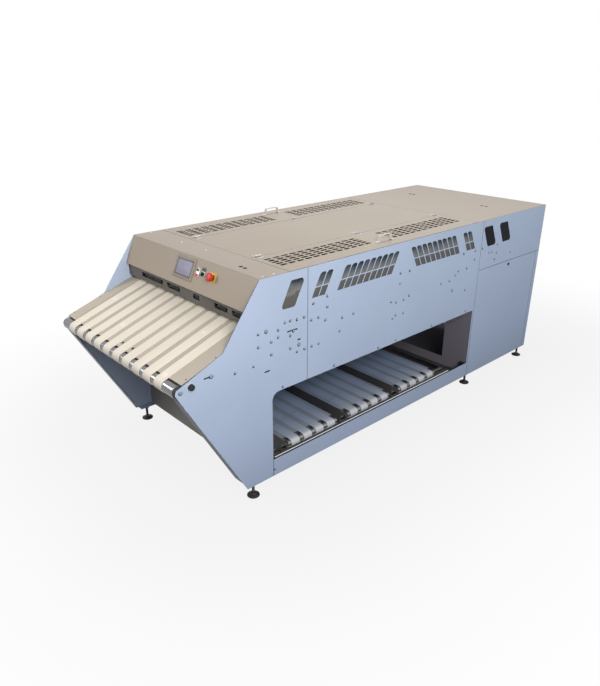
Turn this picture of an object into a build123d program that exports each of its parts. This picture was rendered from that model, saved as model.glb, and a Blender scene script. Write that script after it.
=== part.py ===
from build123d import *
import math
import os

# Towel and linen folding machine, in millimetres.
# X runs across the machine and the stack bay opens on +X. Y runs from the feed nose at -Y to the rear.
# Z is up from the floor. The origin lies on the floor under the middle of the machine.

# Body
machine_width = 1500.0
nose_overhang = 643.0  # nose tip ahead of the front edge of the roof
roof_length = 3457.0
ground_clearance = 105.0
rail_height = 132.0
rail_width = 60.0
rail_step = 40.0  # inner wall of the rail below its outer edge, along the bay
foot_shelf = 6.0  # floor of the base rail, carried on to the front foot
bay_height = 511.0
upper_height = 789.0  # bay roof to the top edge of the side panels
plate = 4.0  # side plates and panels
cover_sheet = 3.0  # covers, fascia and inner walls
tube = 30.0  # square frame tube
tube_wall = 2.5
weld_gap = 0.5  # root gap where frame tubes butt together
seam = 4.0  # visible gap between neighbouring panels
overrun = 10.0  # how far a cut runs past the stock
turned_sides = 8  # flats drawn on small pins, stems and bores
ring_sides = 12  # flats drawn on switch rings, knobs and lock heads
pad_sides = 10  # flats drawn on foot pads, pipes, motors and stacker rollers
wrap_facets = 4  # flats of a belt over half a roller
roller_sides = 24  # flats drawn on the long rollers

# Outline of the side plates
nose_reach = 46.0  # front limit of the machine ahead of the nose roller axis
nose_radius = 30.0  # rounded nose of the side plates
edge_rise = 46.0  # break in the upper edge above the roller axes
nose_drop = 547.0  # roller axis at the nose below the top edge
feed_angle = 19.25
feed_reach = 324.0  # nose axis to the break in the upper edge
leg_lead = 141.0  # tip of the leg ahead of the roof edge
leg_width = 226.0
bay_length = 2307.0
bay_corner = 60.0
front_panel_length = 395.0  # roof edge to the first seam
corner_strip = 20.0  # cabinet corner between the bay and the second seam
flange_depth = 90.0  # return flange along the leading edge
flange_tip_gap = 70.0
adjusting_slot = 10.0
# Adjusting slots in the front plates: middle and length as shares of nose to seam, height of the top
adjusting_shares = (
    (0.196, 0.055, 0.668),
    (0.648, 0.045, 0.599),
    (0.866, 0.089, 0.744),
    (0.923, 0.028, 0.693),
)
flange_nose_gap = 60.0

# Windows and slanted vents in the side panels
lean_angle = 27.0
window_width = 118.0
rear_window_width = 135.0
window_height = 177.0
window_corner = 20.0
window_drop = 57.0  # window top below the top edge
front_window_offset = 128.0  # window centre ahead of the first seam
rear_window_offset = 120.0  # first rear window behind the second seam
rear_window_pitch = 242.0
vent_cell = 55.0
vent_corner = 12.0  # cut from the top corners of the upper cells
vent_pitch = 64.0
vent_upper_row = 87.0
vent_lower_row = 64.0
vent_bar = 8.0
vent_centre_shares = (-0.434, -0.206, 0.181, 0.403)
vent_columns = (2, 9, 9, 2)
vent_leans = (1, 1, -1, -1)
pane_sheet = 3.0
pane_lap = 6.0

# Rear cabinet, service door and its quarter turn lock
door_drop = 431.0  # door top below the top edge of the side panels
rear_strip = 52.0
door_flange = 18.0
catch_depth = 20.0
catch_height = 40.0
lock_drop = 34.0
lock_head_radius = 15.0
lock_head = 4.0
lock_barrel_radius = 11.0
lock_cam_length = 58.0
lock_cam_width = 14.0
lock_cam_gap = 4.0
wall_window_width = 970.0
wall_window_height = 470.0
wall_window_sill = 82.0  # window edge above the base tubes
control_plate_setback = 190.0
control_plate_height = 830.0
control_plate_foot = 40.0
# Gear on the control plate as shares of it: middle along, middle up, length, height, depth
gear_shares = (
    (-0.32, 0.72, 0.10, 0.30, 0.15),
    (-0.18, 0.72, 0.10, 0.30, 0.15),
    (-0.04, 0.72, 0.10, 0.30, 0.15),
    (0.22, 0.76, 0.30, 0.16, 0.10),
    (-0.18, 0.34, 0.38, 0.10, 0.10),
    (0.22, 0.34, 0.30, 0.10, 0.10),
    (0.0, 0.53, 0.80, 0.05, 0.07),
    (0.0, 0.18, 0.80, 0.05, 0.05),
)
gland_radius = 17.0
gland_reach = 24.0
gland_height = 180.0
gland_offset = 480.0

# Roof: covers, hinged lids, slots, hinges and handles
front_cover_length = 242.0
lid_length = 2085.0
lid_width = 395.0  # hinge line to the outer edge
slot_length = 54.0
slot_width = 25.0
slot_pitch = 73.0
slot_row_pitch = 40.0
slot_rows = 5
slot_inset = 172.0  # middle row from the hinge line
slot_group_share = 0.425
slot_centre_shares = (-0.272, 0.257)
rib_depth = 20.0
rib_inset = 42.0
hinge_length = 50.0
hinge_leaf_width = 45.0
hinge_leaf = 2.5
hinge_barrel_radius = 6.0
hinge_pin_radius = 3.0
hinge_gap = 1.0
hinge_knuckle_share = 0.29
hinge_shares = (-0.468, 0.0, 0.468)
handle_inset = 110.0
handle_length = 132.0
handle_height = 52.0
handle_foot = 24.0
handle_width = 30.0
handle_bar = 5.0
handle_share = -0.009

# Fascia, sensor beam and operating controls
fascia_angle = 66.0
fascia_height = 216.0
fascia_return = 44.0
beam_setback = 20.0
intake_gap = 26.0
beam_lip = 40.0
pocket_height = 34.0
# Photocell pockets as shares of half the beam: middle, width
pocket_shares = ((-0.54, 0.39), (-0.16, 0.22), (0.215, 0.1), (0.587, 0.19), (0.818, 0.15))
screen_housing_width = 220.0
screen_housing_height = 155.0
screen_housing_depth = 9.0
screen_housing_taper = 15.0
screen_body_depth = 42.0
screen_body_margin = 10.0
screen_width = 168.0
screen_height = 100.0
screen_recess = 2.0
control_row_drop = 90.0  # centre line of the controls below the top of the fascia
control_fit = 0.3
pushbutton_offset = 158.0
pushbutton_bezel_width = 32.0
pushbutton_bezel_height = 66.0
pushbutton_bezel = 8.0
pushbutton_width = 22.0
pushbutton_height = 20.0
pushbutton_pitch = 37.0
pushbutton_proud = 5.0
selector_offset = 219.0
selector_ring_radius = 16.0
selector_ring = 6.0
selector_radius = 13.0
selector_base = 9.0
selector_grip = 9.0
selector_grip_width = 7.0
estop_offset = 319.0
estop_ring_radius = 20.0
estop_ring = 12.0
estop_radius = 28.0
estop_head = 20.0
estop_travel = 6.0
switch_stem_radius = 8.0
switch_stem_depth = 30.0
side_button_setback = 72.0  # behind the nose axis
side_button_rise = 20.0
side_ring_radius = 23.0
side_ring = 7.0
side_button_radius = 20.0
side_button_head = 12.0
side_button_travel = 5.0

# Feed table: rollers, belts and slider bed
feed_span = 640.0  # between roller axes along the slope
belt_count = 10
belt_gap = 44.0  # between neighbouring belts
feed_strip = 106.0  # raised strip between the outer belt and the side plate
belt_sheet = 3.0
belt_outer = 43.0  # outer face of a belt on its roller
belt_fit = 0.3
bed_end_gap = 30.0
bed_sheet = 3.0
shaft_radius = 12.0
shaft_fit = 0.08
bearing_size = 42.0
bearing_depth = 18.0
roller_end_gap = 4.0
transfer_gap = 110.0  # feed drive roller to transport roller
transport_drop = 51.0
transport_span = 1850.0
knife_setback = 200.0  # behind the transport roller
knife_rise = 50.0
knife_blade = 4.0
knife_depth = 180.0
knife_end_gap = 60.0
pipe_radius = 20.0
pipe_rise = 130.0
pipe_pitch = 100.0

# Stack bay: three side discharge conveyors
stacker_count = 3
stacker_lead = 449.0  # bay front edge to the middle of the first conveyor
stacker_pitch = 614.0
stacker_rise = 25.0  # belt face above the base rail
stacker_belt_count = 4
stacker_belt_pitch = 120.0
stacker_roller_radius = 25.0
stacker_roller_length = 490.0
stacker_shaft_radius = 8.0
stacker_end_gap = 6.0
cheek = 4.0
cheek_gap = 5.0
cheek_ear = 28.0
cheek_setback = 46.0
support_inset = 130.0  # stacker support tubes inside the base rails

# Covers and drives at the front
front_cover_setback = 78.0  # front cover ahead of the bay
front_cover_height = 975.0
front_cover_lip = 30.0
header_lap = 58.0
motor_radius = 60.0
motor_length = 220.0
gearbox_width = 110.0
gearbox_size = 140.0
gearbox_setback = 120.0
gearbox_rise = 230.0  # above the bay roof
stacker_motor_radius = 26.0
stacker_motor_length = 160.0
stacker_gearbox = 60.0
stacker_motor_inset = 130.0
stacker_motor_lift = 5.0

# Levelling feet
foot_radius = 44.0
foot_rim = 8.0
foot_height = 24.0
foot_neck_radius = 18.0
stem_radius = 10.0
foot_inset = 40.0
front_foot_setback = 76.0  # behind the tip of the leg
middle_foot_setback = 70.0  # behind the bay
rear_foot_setback = 57.0

# Places that follow from the sizes above
half_width = machine_width / 2
inner_x = half_width - plate
rail_x = half_width - rail_width
tube_x = inner_x - tube / 2
rear_y = (nose_overhang + roof_length) / 2
rear_in = rear_y - cover_sheet
roof_y = rear_y - roof_length
nose_y = -rear_y + nose_reach
tip_y = roof_y - leg_lead
bay_front = tip_y + leg_width
bay_rear = bay_front + bay_length
seam_1 = roof_y + front_panel_length
seam_2 = bay_rear + corner_strip
bay_floor = ground_clearance + rail_height
bay_roof = bay_floor + bay_height
panel_top = bay_roof + upper_height
machine_height = panel_top + cover_sheet
nose_z = panel_top - nose_drop
door_top = panel_top - door_drop
base_tube_top = ground_clearance + tube
beam_z = panel_top - tube / 2
lid_front = roof_y + front_cover_length
lid_rear = lid_front + lid_length
lid_y = (lid_front + lid_rear) / 2
hinge_x = half_width - lid_width
lean = math.tan(math.radians(lean_angle))
strip_edge = inner_x - feed_strip
belt_pitch = 2 * strip_edge / belt_count
belt_width = belt_pitch - belt_gap


def on_slope(start, angle, along, above=0):
    """Point reached from start by going along a slope, then square to it on its left."""
    turn = math.radians(angle)
    y = start[0] + along * math.cos(turn) - above * math.sin(turn)
    z = start[1] + along * math.sin(turn) + above * math.cos(turn)
    return (y, z)


def meet(first, first_angle, second, second_angle):
    """Point where two lines in the side view cross."""
    a = math.radians(first_angle)
    b = math.radians(second_angle)
    gap_y = second[0] - first[0]
    gap_z = second[1] - first[1]
    along = (gap_y * math.sin(b) - gap_z * math.cos(b)) / math.sin(b - a)
    return on_slope(first, first_angle, along)


def slanted(width, height, way, middle=(0, 0)):
    """Corners of a window whose sides lean towards the rear, or towards the front where way is -1."""
    shift = way * lean * height / 2
    corners = (
        (-width / 2 - shift, -height / 2),
        (width / 2 - shift, -height / 2),
        (width / 2 + shift, height / 2),
        (-width / 2 + shift, height / 2),
    )
    return [(middle[0] + y, middle[1] + z) for y, z in corners]


def eased_top(corners, cut):
    """The same window with its two upper corners cut off."""
    low_left, low_right, top_right, top_left = corners
    fall = (low_right[0] - top_right[0]) * cut / (top_right[1] - low_right[1])
    return [
        low_left,
        low_right,
        (top_right[0] + fall, top_right[1] - cut),
        (top_right[0] - cut, top_right[1]),
        (top_left[0] + cut, top_left[1]),
        (top_left[0] + fall, top_left[1] - cut),
    ]


def side_plane(x):
    """Plane across the machine, drawn with Y to the right and Z up."""
    return Plane.YZ.offset(x)


def front_plane(y):
    """Plane seen from the feed end, drawn with X to the right and Z up."""
    return Plane.XZ.offset(-y)


def write(piece, name):
    """Label a finished piece and write it as a file of its own."""
    piece.part.label = name
    export_step(piece.part, f"parts/{name}.step")


os.makedirs("parts", exist_ok=True)

# Feed slope: the nose roller axis and the lines that leave it
nose_axis = (nose_y, nose_z)
table_break = on_slope(nose_axis, feed_angle, feed_reach / math.cos(math.radians(feed_angle)), edge_rise)
break_rise = math.hypot(table_break[0] - nose_y, table_break[1] - nose_z)
edge_angle = math.degrees(
    math.atan2(table_break[1] - nose_z, table_break[0] - nose_y) - math.asin(nose_radius / break_rise)
)
table_start = on_slope(nose_axis, edge_angle, 0, nose_radius)
leg_tip = (tip_y, ground_clearance)
leg_rise = math.hypot(nose_y - tip_y, nose_z - ground_clearance)
lead_angle = math.degrees(
    math.atan2(nose_z - ground_clearance, nose_y - tip_y) + math.asin(nose_radius / leg_rise)
)
nose_corner = meet(leg_tip, lead_angle, table_start, edge_angle)
lead_length = math.sqrt(leg_rise**2 - nose_radius**2)

# Front side plates: laser cut outline with a rounded nose, one window and a folded leading edge
window_mid = panel_top - window_drop - window_height / 2
front_window_y = seam_1 - front_window_offset
side_button_y = nose_y + side_button_setback
side_button_z = nose_z + side_button_rise
with BuildPart() as left_front_plate:
    with BuildSketch(side_plane(-half_width)) as front_outline:
        with BuildLine():
            Polyline(
                nose_corner,
                table_break,
                (roof_y, panel_top),
                (seam_1 - seam / 2, panel_top),
                (seam_1 - seam / 2, bay_roof),
                (bay_front, bay_roof),
                (bay_front, ground_clearance),
                leg_tip,
                close=True,
            )
        make_face()
        fillet(front_outline.vertices().sort_by(Axis.X)[0], radius=nose_radius)
        fillet(front_outline.vertices().sort_by_distance((bay_front, bay_roof))[0], radius=bay_corner)
    extrude(amount=plate)
    with BuildSketch(side_plane(-half_width)):
        with BuildLine():
            FilletPolyline(
                *slanted(window_width, window_height, 1, (front_window_y, window_mid)),
                radius=window_corner,
                close=True,
            )
        make_face()
        for middle_share, length_share, height_share in adjusting_shares:
            with Locations((nose_y + middle_share * (seam_1 - nose_y), height_share * panel_top)):
                Rectangle(length_share * (seam_1 - nose_y), adjusting_slot)
    extrude(amount=plate, mode=Mode.SUBTRACT)
    with BuildSketch(side_plane(-inner_x)):
        with BuildLine():
            Polyline(
                on_slope(leg_tip, lead_angle, flange_tip_gap),
                on_slope(leg_tip, lead_angle, lead_length - flange_nose_gap),
                on_slope(leg_tip, lead_angle, lead_length - flange_nose_gap, -plate),
                on_slope(leg_tip, lead_angle, flange_tip_gap, -plate),
                close=True,
            )
        make_face()
    extrude(amount=flange_depth - plate)
write(left_front_plate, "left_front_plate")

switch_bore = switch_stem_radius + control_fit
with BuildPart() as right_front_plate:
    mirror(left_front_plate.part, about=Plane.YZ)
    with BuildSketch(side_plane(inner_x)):
        with Locations((side_button_y, side_button_z)):
            Rectangle(2 * switch_bore, 2 * switch_bore)
    extrude(amount=plate, mode=Mode.SUBTRACT)
write(right_front_plate, "right_front_plate")

# Middle panels: two rows of slanted vent cells in four groups, leaning towards the middle
middle_y = (seam_1 + seam_2) / 2
middle_length = seam_2 - seam_1 - seam
vent_top = panel_top - window_drop
upper_row_z = vent_top - vent_upper_row / 2
lower_row_z = vent_top - vent_upper_row - vent_bar - vent_lower_row / 2
vent_mid = vent_top - (vent_upper_row + vent_bar + vent_lower_row) / 2
with BuildPart() as right_middle_panel:
    with BuildSketch(side_plane(inner_x)):
        with Locations((middle_y, (bay_roof + panel_top) / 2)):
            Rectangle(middle_length, upper_height)
        for centre_share, columns, way in zip(vent_centre_shares, vent_columns, vent_leans):
            upper_cell = eased_top(slanted(vent_cell, vent_upper_row, way), vent_corner)
            lower_cell = slanted(vent_cell, vent_lower_row, way)
            for row_z, cell in ((upper_row_z, upper_cell), (lower_row_z, lower_cell)):
                row_y = middle_y + centre_share * middle_length + way * lean * (row_z - vent_mid)
                with Locations((row_y, row_z)):
                    with GridLocations(vent_pitch, vent_pitch, columns, 1):
                        Polygon(*cell, align=None, mode=Mode.SUBTRACT)
    extrude(amount=plate)
write(right_middle_panel, "right_middle_panel")

with BuildPart() as left_middle_panel:
    mirror(right_middle_panel.part, about=Plane.YZ)
write(left_middle_panel, "left_middle_panel")

# Rear panels: two windows leaning the other way; the right one ends above the service door
rear_window_ys = [seam_2 + rear_window_offset + step * rear_window_pitch for step in range(2)]
rear_start = seam_2 + seam / 2
with BuildPart() as right_rear_panel:
    with BuildSketch(side_plane(inner_x)):
        with Locations(((rear_start + rear_in) / 2, (door_top + seam + panel_top) / 2)):
            Rectangle(rear_in - rear_start, panel_top - door_top - seam)
    extrude(amount=plate)
    for window_y in rear_window_ys:
        with BuildSketch(side_plane(inner_x)):
            with BuildLine():
                FilletPolyline(
                    *slanted(rear_window_width, window_height, -1, (window_y, window_mid)),
                    radius=window_corner,
                    close=True,
                )
            make_face()
        extrude(amount=plate, mode=Mode.SUBTRACT)
write(right_rear_panel, "right_rear_panel")

with BuildPart() as left_rear_panel:
    with BuildSketch(side_plane(-half_width)):
        with Locations(((rear_start + rear_in) / 2, (ground_clearance + panel_top) / 2)):
            Rectangle(rear_in - rear_start, panel_top - ground_clearance)
    extrude(amount=plate)
    for window_y in rear_window_ys:
        with BuildSketch(side_plane(-half_width)):
            with BuildLine():
                FilletPolyline(
                    *slanted(rear_window_width, window_height, -1, (window_y, window_mid)),
                    radius=window_corner,
                    close=True,
                )
            make_face()
        extrude(amount=plate, mode=Mode.SUBTRACT)
write(left_rear_panel, "left_rear_panel")

# Window panes: clear sheets behind every window and vent group, held to the inner face of the panels
# and trimmed where they meet the frame posts
post_y = bay_rear + cover_sheet + tube / 2
pane_height = vent_upper_row + vent_bar + vent_lower_row + pane_lap
tall_pane = window_height + pane_lap
with BuildPart() as window_panes:
    with BuildSketch(side_plane(inner_x - pane_sheet)):
        with Locations((front_window_y, window_mid)):
            Polygon(*slanted(window_width + 2 * pane_lap, tall_pane, 1), align=None)
        with Locations(*[(window_y, window_mid) for window_y in rear_window_ys]):
            Polygon(*slanted(rear_window_width + 2 * pane_lap, tall_pane, -1), align=None)
        for centre_share, columns, way in zip(vent_centre_shares, vent_columns, vent_leans):
            pane_width = vent_pitch * (columns - 1) + vent_cell + 2 * pane_lap
            with Locations((middle_y + centre_share * middle_length, vent_mid)):
                Polygon(*slanted(pane_width, pane_height, way), align=None)
        with Locations((seam_1, window_mid), (post_y, window_mid)):
            Rectangle(tube + 2 * weld_gap, 2 * tall_pane, mode=Mode.SUBTRACT)
    extrude(amount=pane_sheet)
    mirror(about=Plane.YZ)
write(window_panes, "window_panes")

# Base rails: box sections, cut open on top along the bay, with a shelf under the front cover
# for the front foot
rail_front = tip_y + foot_inset / 2
front_cover_y = bay_front - front_cover_setback
tube_front = front_cover_y + cover_sheet
shelf_top = ground_clearance + foot_shelf
rail_bore = rail_width - plate - 2 * tube_wall
with BuildPart() as right_base_rail:
    with BuildSketch(Plane.XY.offset(ground_clearance)):
        with BuildLine():
            Polyline(
                (rail_x, rail_front),
                (inner_x, rail_front),
                (inner_x, bay_front + seam),
                (half_width, bay_front + seam),
                (half_width, seam_2 - seam / 2),
                (inner_x, seam_2 - seam / 2),
                (inner_x, rear_in),
                (rail_x, rear_in),
                close=True,
            )
        make_face()
    extrude(amount=rail_height)
    with BuildSketch(side_plane(rail_x - overrun)):
        with BuildLine():
            Polyline(
                (rail_front - overrun, shelf_top),
                (tube_front, shelf_top),
                (tube_front, bay_floor + overrun),
                (rail_front - overrun, bay_floor + overrun),
                close=True,
            )
        make_face()
    extrude(amount=rail_width + 2 * overrun, mode=Mode.SUBTRACT)
    with BuildSketch(front_plane(tube_front)):
        with Locations(((rail_x + inner_x) / 2, ground_clearance + rail_height / 2)):
            Rectangle(rail_bore, rail_height - 2 * tube_wall)
    extrude(amount=-(rear_in - tube_front + overrun), mode=Mode.SUBTRACT)
    with BuildSketch(side_plane(rail_x - overrun)):
        with Locations(((bay_front + bay_rear) / 2, bay_floor)):
            Rectangle(bay_rear - bay_front - 2 * tube, 2 * rail_step)
    extrude(amount=inner_x - tube_wall - rail_x + overrun, mode=Mode.SUBTRACT)
write(right_base_rail, "right_base_rail")

with BuildPart() as left_base_rail:
    mirror(right_base_rail.part, about=Plane.YZ)
write(left_base_rail, "left_base_rail")

# Cabinet wall: folded sheet at the rear of the bay with a large window and corner flanges
with BuildPart() as cabinet_wall:
    with BuildSketch(front_plane(bay_rear)):
        with BuildLine():
            Polyline(
                (-rail_x, base_tube_top),
                (rail_x, base_tube_top),
                (rail_x, bay_floor),
                (half_width, bay_floor),
                (half_width, bay_roof),
                (-half_width, bay_roof),
                (-half_width, bay_floor),
                (-rail_x, bay_floor),
                close=True,
            )
        make_face()
        with Locations((0, base_tube_top + wall_window_sill + wall_window_height / 2)):
            Rectangle(wall_window_width, wall_window_height, mode=Mode.SUBTRACT)
    extrude(amount=-cover_sheet)
    with BuildSketch(Plane.XY.offset(bay_floor)):
        with Locations(
            (half_width - plate / 2, bay_rear + (corner_strip - seam / 2) / 2),
            (-half_width + plate / 2, bay_rear + (corner_strip - seam / 2) / 2),
        ):
            Rectangle(plate, corner_strip - seam / 2)
    extrude(amount=bay_height)
write(cabinet_wall, "cabinet_wall")

# Left bay panel: closes the far side of the stack bay from the inside
with BuildPart() as left_bay_panel:
    with BuildSketch(side_plane(-inner_x)):
        with Locations(((bay_front - header_lap / 2 + bay_rear) / 2, (bay_floor + bay_roof) / 2)):
            Rectangle(bay_rear - bay_front + header_lap / 2, bay_height)
    extrude(amount=cover_sheet)
write(left_bay_panel, "left_bay_panel")

# Frame posts: square tubes behind the panel seams and in the rear corners
rear_post_y = rear_in - tube / 2
post_top = panel_top - tube
header_top = bay_roof + tube
posts = (
    (seam_1, header_top, post_top),
    (post_y, bay_floor, post_top),
    (rear_post_y, bay_floor, post_top),
)
with BuildPart() as frame_posts:
    for middle, low, high in posts:
        with BuildSketch(Plane.XY.offset(low)):
            with Locations((tube_x, middle), (-tube_x, middle)):
                Rectangle(tube, tube)
        extrude(amount=high - low)
write(frame_posts, "frame_posts")

# Frame beams: tubes along both sides, under the roof and under the stackers, and the cross tubes
cross_front = tube_front + tube
cross_rear = bay_rear + cover_sheet / 2 - tube / 2
support_x = rail_x - support_inset
roof_rail_x = hinge_x - tube
side_tubes = (
    (tube_x, bay_roof + tube / 2, bay_front - header_lap, post_y - tube / 2),
    (tube_x, beam_z, roof_y + tube, rear_in),
    (roof_rail_x, beam_z, lid_front + tube / 2 + weld_gap, lid_rear - tube / 2 - weld_gap),
    (support_x, ground_clearance + tube / 2, cross_front + weld_gap, cross_rear - weld_gap),
)
cross_tubes = (
    (cross_front - tube / 2, ground_clearance + tube / 2, rail_x),
    (cross_rear + tube / 2, ground_clearance + tube / 2, rail_x),
    (rear_post_y, ground_clearance + tube / 2, rail_x),
    (lid_front, beam_z, tube_x - tube / 2 - weld_gap),
    (lid_rear, beam_z, tube_x - tube / 2 - weld_gap),
    (rear_post_y, beam_z, tube_x - tube / 2 - weld_gap),
)
with BuildPart() as frame_beams:
    for tube_mid_x, tube_mid_z, start, end in side_tubes:
        with BuildSketch(front_plane(start)):
            with Locations((tube_mid_x, tube_mid_z), (-tube_mid_x, tube_mid_z)):
                Rectangle(tube, tube)
        extrude(amount=start - end)
    catch_x = inner_x - catch_depth / 2
    with BuildSketch(front_plane(post_y + tube / 2)):
        with Locations(*[(side * catch_x, door_top + seam + catch_height / 2) for side in (1, -1)]):
            Rectangle(catch_depth, catch_height)
    extrude(amount=post_y + tube - rear_post_y)
    for tube_mid_y, tube_mid_z, reach in cross_tubes:
        with BuildSketch(side_plane(-reach)):
            with Locations((tube_mid_y, tube_mid_z)):
                Rectangle(tube, tube)
        extrude(amount=2 * reach)
write(frame_beams, "frame_beams")

# Front lower cover: sheet between the legs, notched over the shelves of the base rails, with a folded top lip
front_cover_top = ground_clearance + front_cover_height
with BuildPart() as front_lower_cover:
    with BuildSketch(front_plane(front_cover_y)):
        with BuildLine():
            Polyline(
                (-rail_x, ground_clearance),
                (rail_x, ground_clearance),
                (rail_x, shelf_top),
                (inner_x, shelf_top),
                (inner_x, front_cover_top),
                (-inner_x, front_cover_top),
                (-inner_x, shelf_top),
                (-rail_x, shelf_top),
                close=True,
            )
        make_face()
    extrude(amount=-cover_sheet)
    with BuildSketch(Plane.XY.offset(front_cover_top - cover_sheet)):
        with Locations((0, front_cover_y + cover_sheet + front_cover_lip / 2)):
            Rectangle(2 * inner_x, front_cover_lip)
    extrude(amount=cover_sheet)
write(front_lower_cover, "front_lower_cover")

# Fascia: steep folded sheet between the side plates, cut for the screen and the controls
fascia_top = (roof_y, panel_top)
fascia_turn = math.radians(fascia_angle)
fascia_foot = on_slope(fascia_top, 180 + fascia_angle, fascia_height)
fascia_plane = Plane(
    origin=(0, roof_y, panel_top),
    x_dir=(1, 0, 0),
    z_dir=(0, -math.sin(fascia_turn), math.cos(fascia_turn)),
)
fascia_inset = cover_sheet / math.sin(fascia_turn)
fascia_slant = 1 / math.tan(fascia_turn)
screen_body_width = screen_housing_width - 2 * screen_body_margin
screen_body_height = screen_housing_height - 2 * screen_body_margin
button_places = [
    (pushbutton_offset, -control_row_drop + side * pushbutton_pitch / 2) for side in (1, -1)
]
with BuildPart() as fascia_panel:
    with BuildSketch(side_plane(-inner_x)):
        with BuildLine():
            Polyline(
                fascia_top,
                fascia_foot,
                (fascia_foot[0] + fascia_return, fascia_foot[1]),
                (fascia_foot[0] + fascia_return, fascia_foot[1] + cover_sheet),
                (fascia_foot[0] + fascia_inset + cover_sheet * fascia_slant, fascia_foot[1] + cover_sheet),
                (roof_y + fascia_inset, panel_top),
                close=True,
            )
        make_face()
    extrude(amount=2 * inner_x)
    with BuildSketch(fascia_plane):
        with Locations((0, -control_row_drop)):
            Rectangle(screen_body_width + 2 * control_fit, screen_body_height + 2 * control_fit)
        with Locations(*[(offset, -control_row_drop) for offset in (selector_offset, estop_offset)]):
            Rectangle(2 * switch_bore, 2 * switch_bore)
        with Locations(*button_places):
            Rectangle(pushbutton_width + 2 * control_fit, pushbutton_height + 2 * control_fit)
    extrude(amount=2 * cover_sheet, both=True, mode=Mode.SUBTRACT)
write(fascia_panel, "fascia_panel")

# Sensor beam: folded channel under the fascia with a row of pockets for the photocells
beam_y = fascia_foot[0] + beam_setback
belt_line = on_slope(nose_axis, feed_angle, 0, belt_outer)
beam_low = belt_line[1] + (beam_y - belt_line[0]) * math.tan(math.radians(feed_angle)) + intake_gap
beam_foot = (beam_y, beam_low)
with BuildPart() as sensor_beam:
    with BuildSketch(side_plane(-inner_x)):
        with BuildLine():
            Polyline(
                (beam_y, fascia_foot[1]),
                beam_foot,
                on_slope(beam_foot, feed_angle, beam_lip),
                on_slope(beam_foot, feed_angle, beam_lip, cover_sheet),
                (beam_y + cover_sheet, beam_low + 2 * cover_sheet),
                (beam_y + cover_sheet, fascia_foot[1]),
                close=True,
            )
        make_face()
    extrude(amount=2 * inner_x)
    with BuildSketch(front_plane(beam_y)):
        for middle_share, width_share in pocket_shares:
            with Locations((middle_share * inner_x, (beam_low + fascia_foot[1]) / 2)):
                Rectangle(width_share * inner_x, pocket_height)
    extrude(amount=cover_sheet, both=True, mode=Mode.SUBTRACT)
write(sensor_beam, "sensor_beam")

# Roof covers: plain sheets in front of, between and behind the lids, and the rear cover
roof_sheets = (
    ("front_top_cover", half_width, roof_y, lid_front - seam / 2),
    ("centre_top_cover", hinge_x - seam / 2, lid_front + seam / 2, lid_rear - seam / 2),
    ("rear_top_cover", half_width, lid_rear + seam / 2, rear_y),
)
for cover_name, reach, start, end in roof_sheets:
    with BuildPart() as roof_cover:
        with BuildSketch(Plane.XY.offset(panel_top)):
            with Locations((0, (start + end) / 2)):
                Rectangle(2 * reach, end - start)
        extrude(amount=cover_sheet)
    write(roof_cover, cover_name)

door_rear = rear_in - rear_strip
with BuildPart() as rear_cover:
    with BuildSketch(front_plane(rear_in)):
        with Locations((0, (ground_clearance + panel_top) / 2)):
            Rectangle(machine_width, panel_top - ground_clearance)
        with Locations((-gland_offset, ground_clearance + gland_height)):
            RegularPolygon(gland_radius, 6, mode=Mode.SUBTRACT)
    extrude(amount=-cover_sheet)
    with BuildSketch(Plane.XY.offset(ground_clearance)):
        with Locations((half_width - plate / 2, (door_rear + seam + rear_in) / 2)):
            Rectangle(plate, rear_in - door_rear - seam)
    extrude(amount=door_top - ground_clearance)
write(rear_cover, "rear_cover")

# Mains gland: hollow screwed inlet through the rear cover
gland_bore = gland_radius / 2
with BuildPart() as mains_gland:
    with BuildSketch(front_plane(rear_in - gland_reach)):
        with Locations((-gland_offset, ground_clearance + gland_height)):
            RegularPolygon(gland_radius, 6)
            RegularPolygon(gland_bore, turned_sides, mode=Mode.SUBTRACT)
    extrude(amount=-(gland_reach + cover_sheet))
    with BuildSketch(front_plane(rear_in - cover_sheet)):
        with Locations((-gland_offset, ground_clearance + gland_height)):
            RegularPolygon(gland_radius + 2 * cover_sheet, 6)
            RegularPolygon(gland_bore, turned_sides, mode=Mode.SUBTRACT)
    extrude(amount=-cover_sheet)
write(mains_gland, "mains_gland")

# Lids: slotted sheets hinged along the centre cover, stiffened by two ribs, each with its fittings
hinge_z = machine_height + hinge_barrel_radius
lid_in = hinge_x + seam / 2
slot_columns = int(lid_length * slot_group_share // slot_pitch)
rib_length = lid_length - 2 * tube - 2 * overrun
with BuildPart() as right_lid:
    with BuildSketch(Plane.XY.offset(panel_top)):
        with Locations(((lid_in + half_width) / 2, lid_y)):
            Rectangle(half_width - lid_in, lid_length - seam)
        for centre_share in slot_centre_shares:
            with Locations((hinge_x + slot_inset, lid_y + centre_share * lid_length)):
                with GridLocations(slot_row_pitch, slot_pitch, slot_rows, slot_columns):
                    Rectangle(slot_width, slot_length, mode=Mode.SUBTRACT)
    extrude(amount=cover_sheet)
    with BuildSketch(Plane.XY.offset(panel_top - rib_depth)):
        with Locations((hinge_x + rib_inset, lid_y), (tube_x - tube / 2 - rib_inset, lid_y)):
            Rectangle(rib_depth, rib_length)
    extrude(amount=rib_depth)
write(right_lid, "right_lid")

with BuildPart() as left_lid:
    mirror(right_lid.part, about=Plane.YZ)
write(left_lid, "left_lid")

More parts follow.
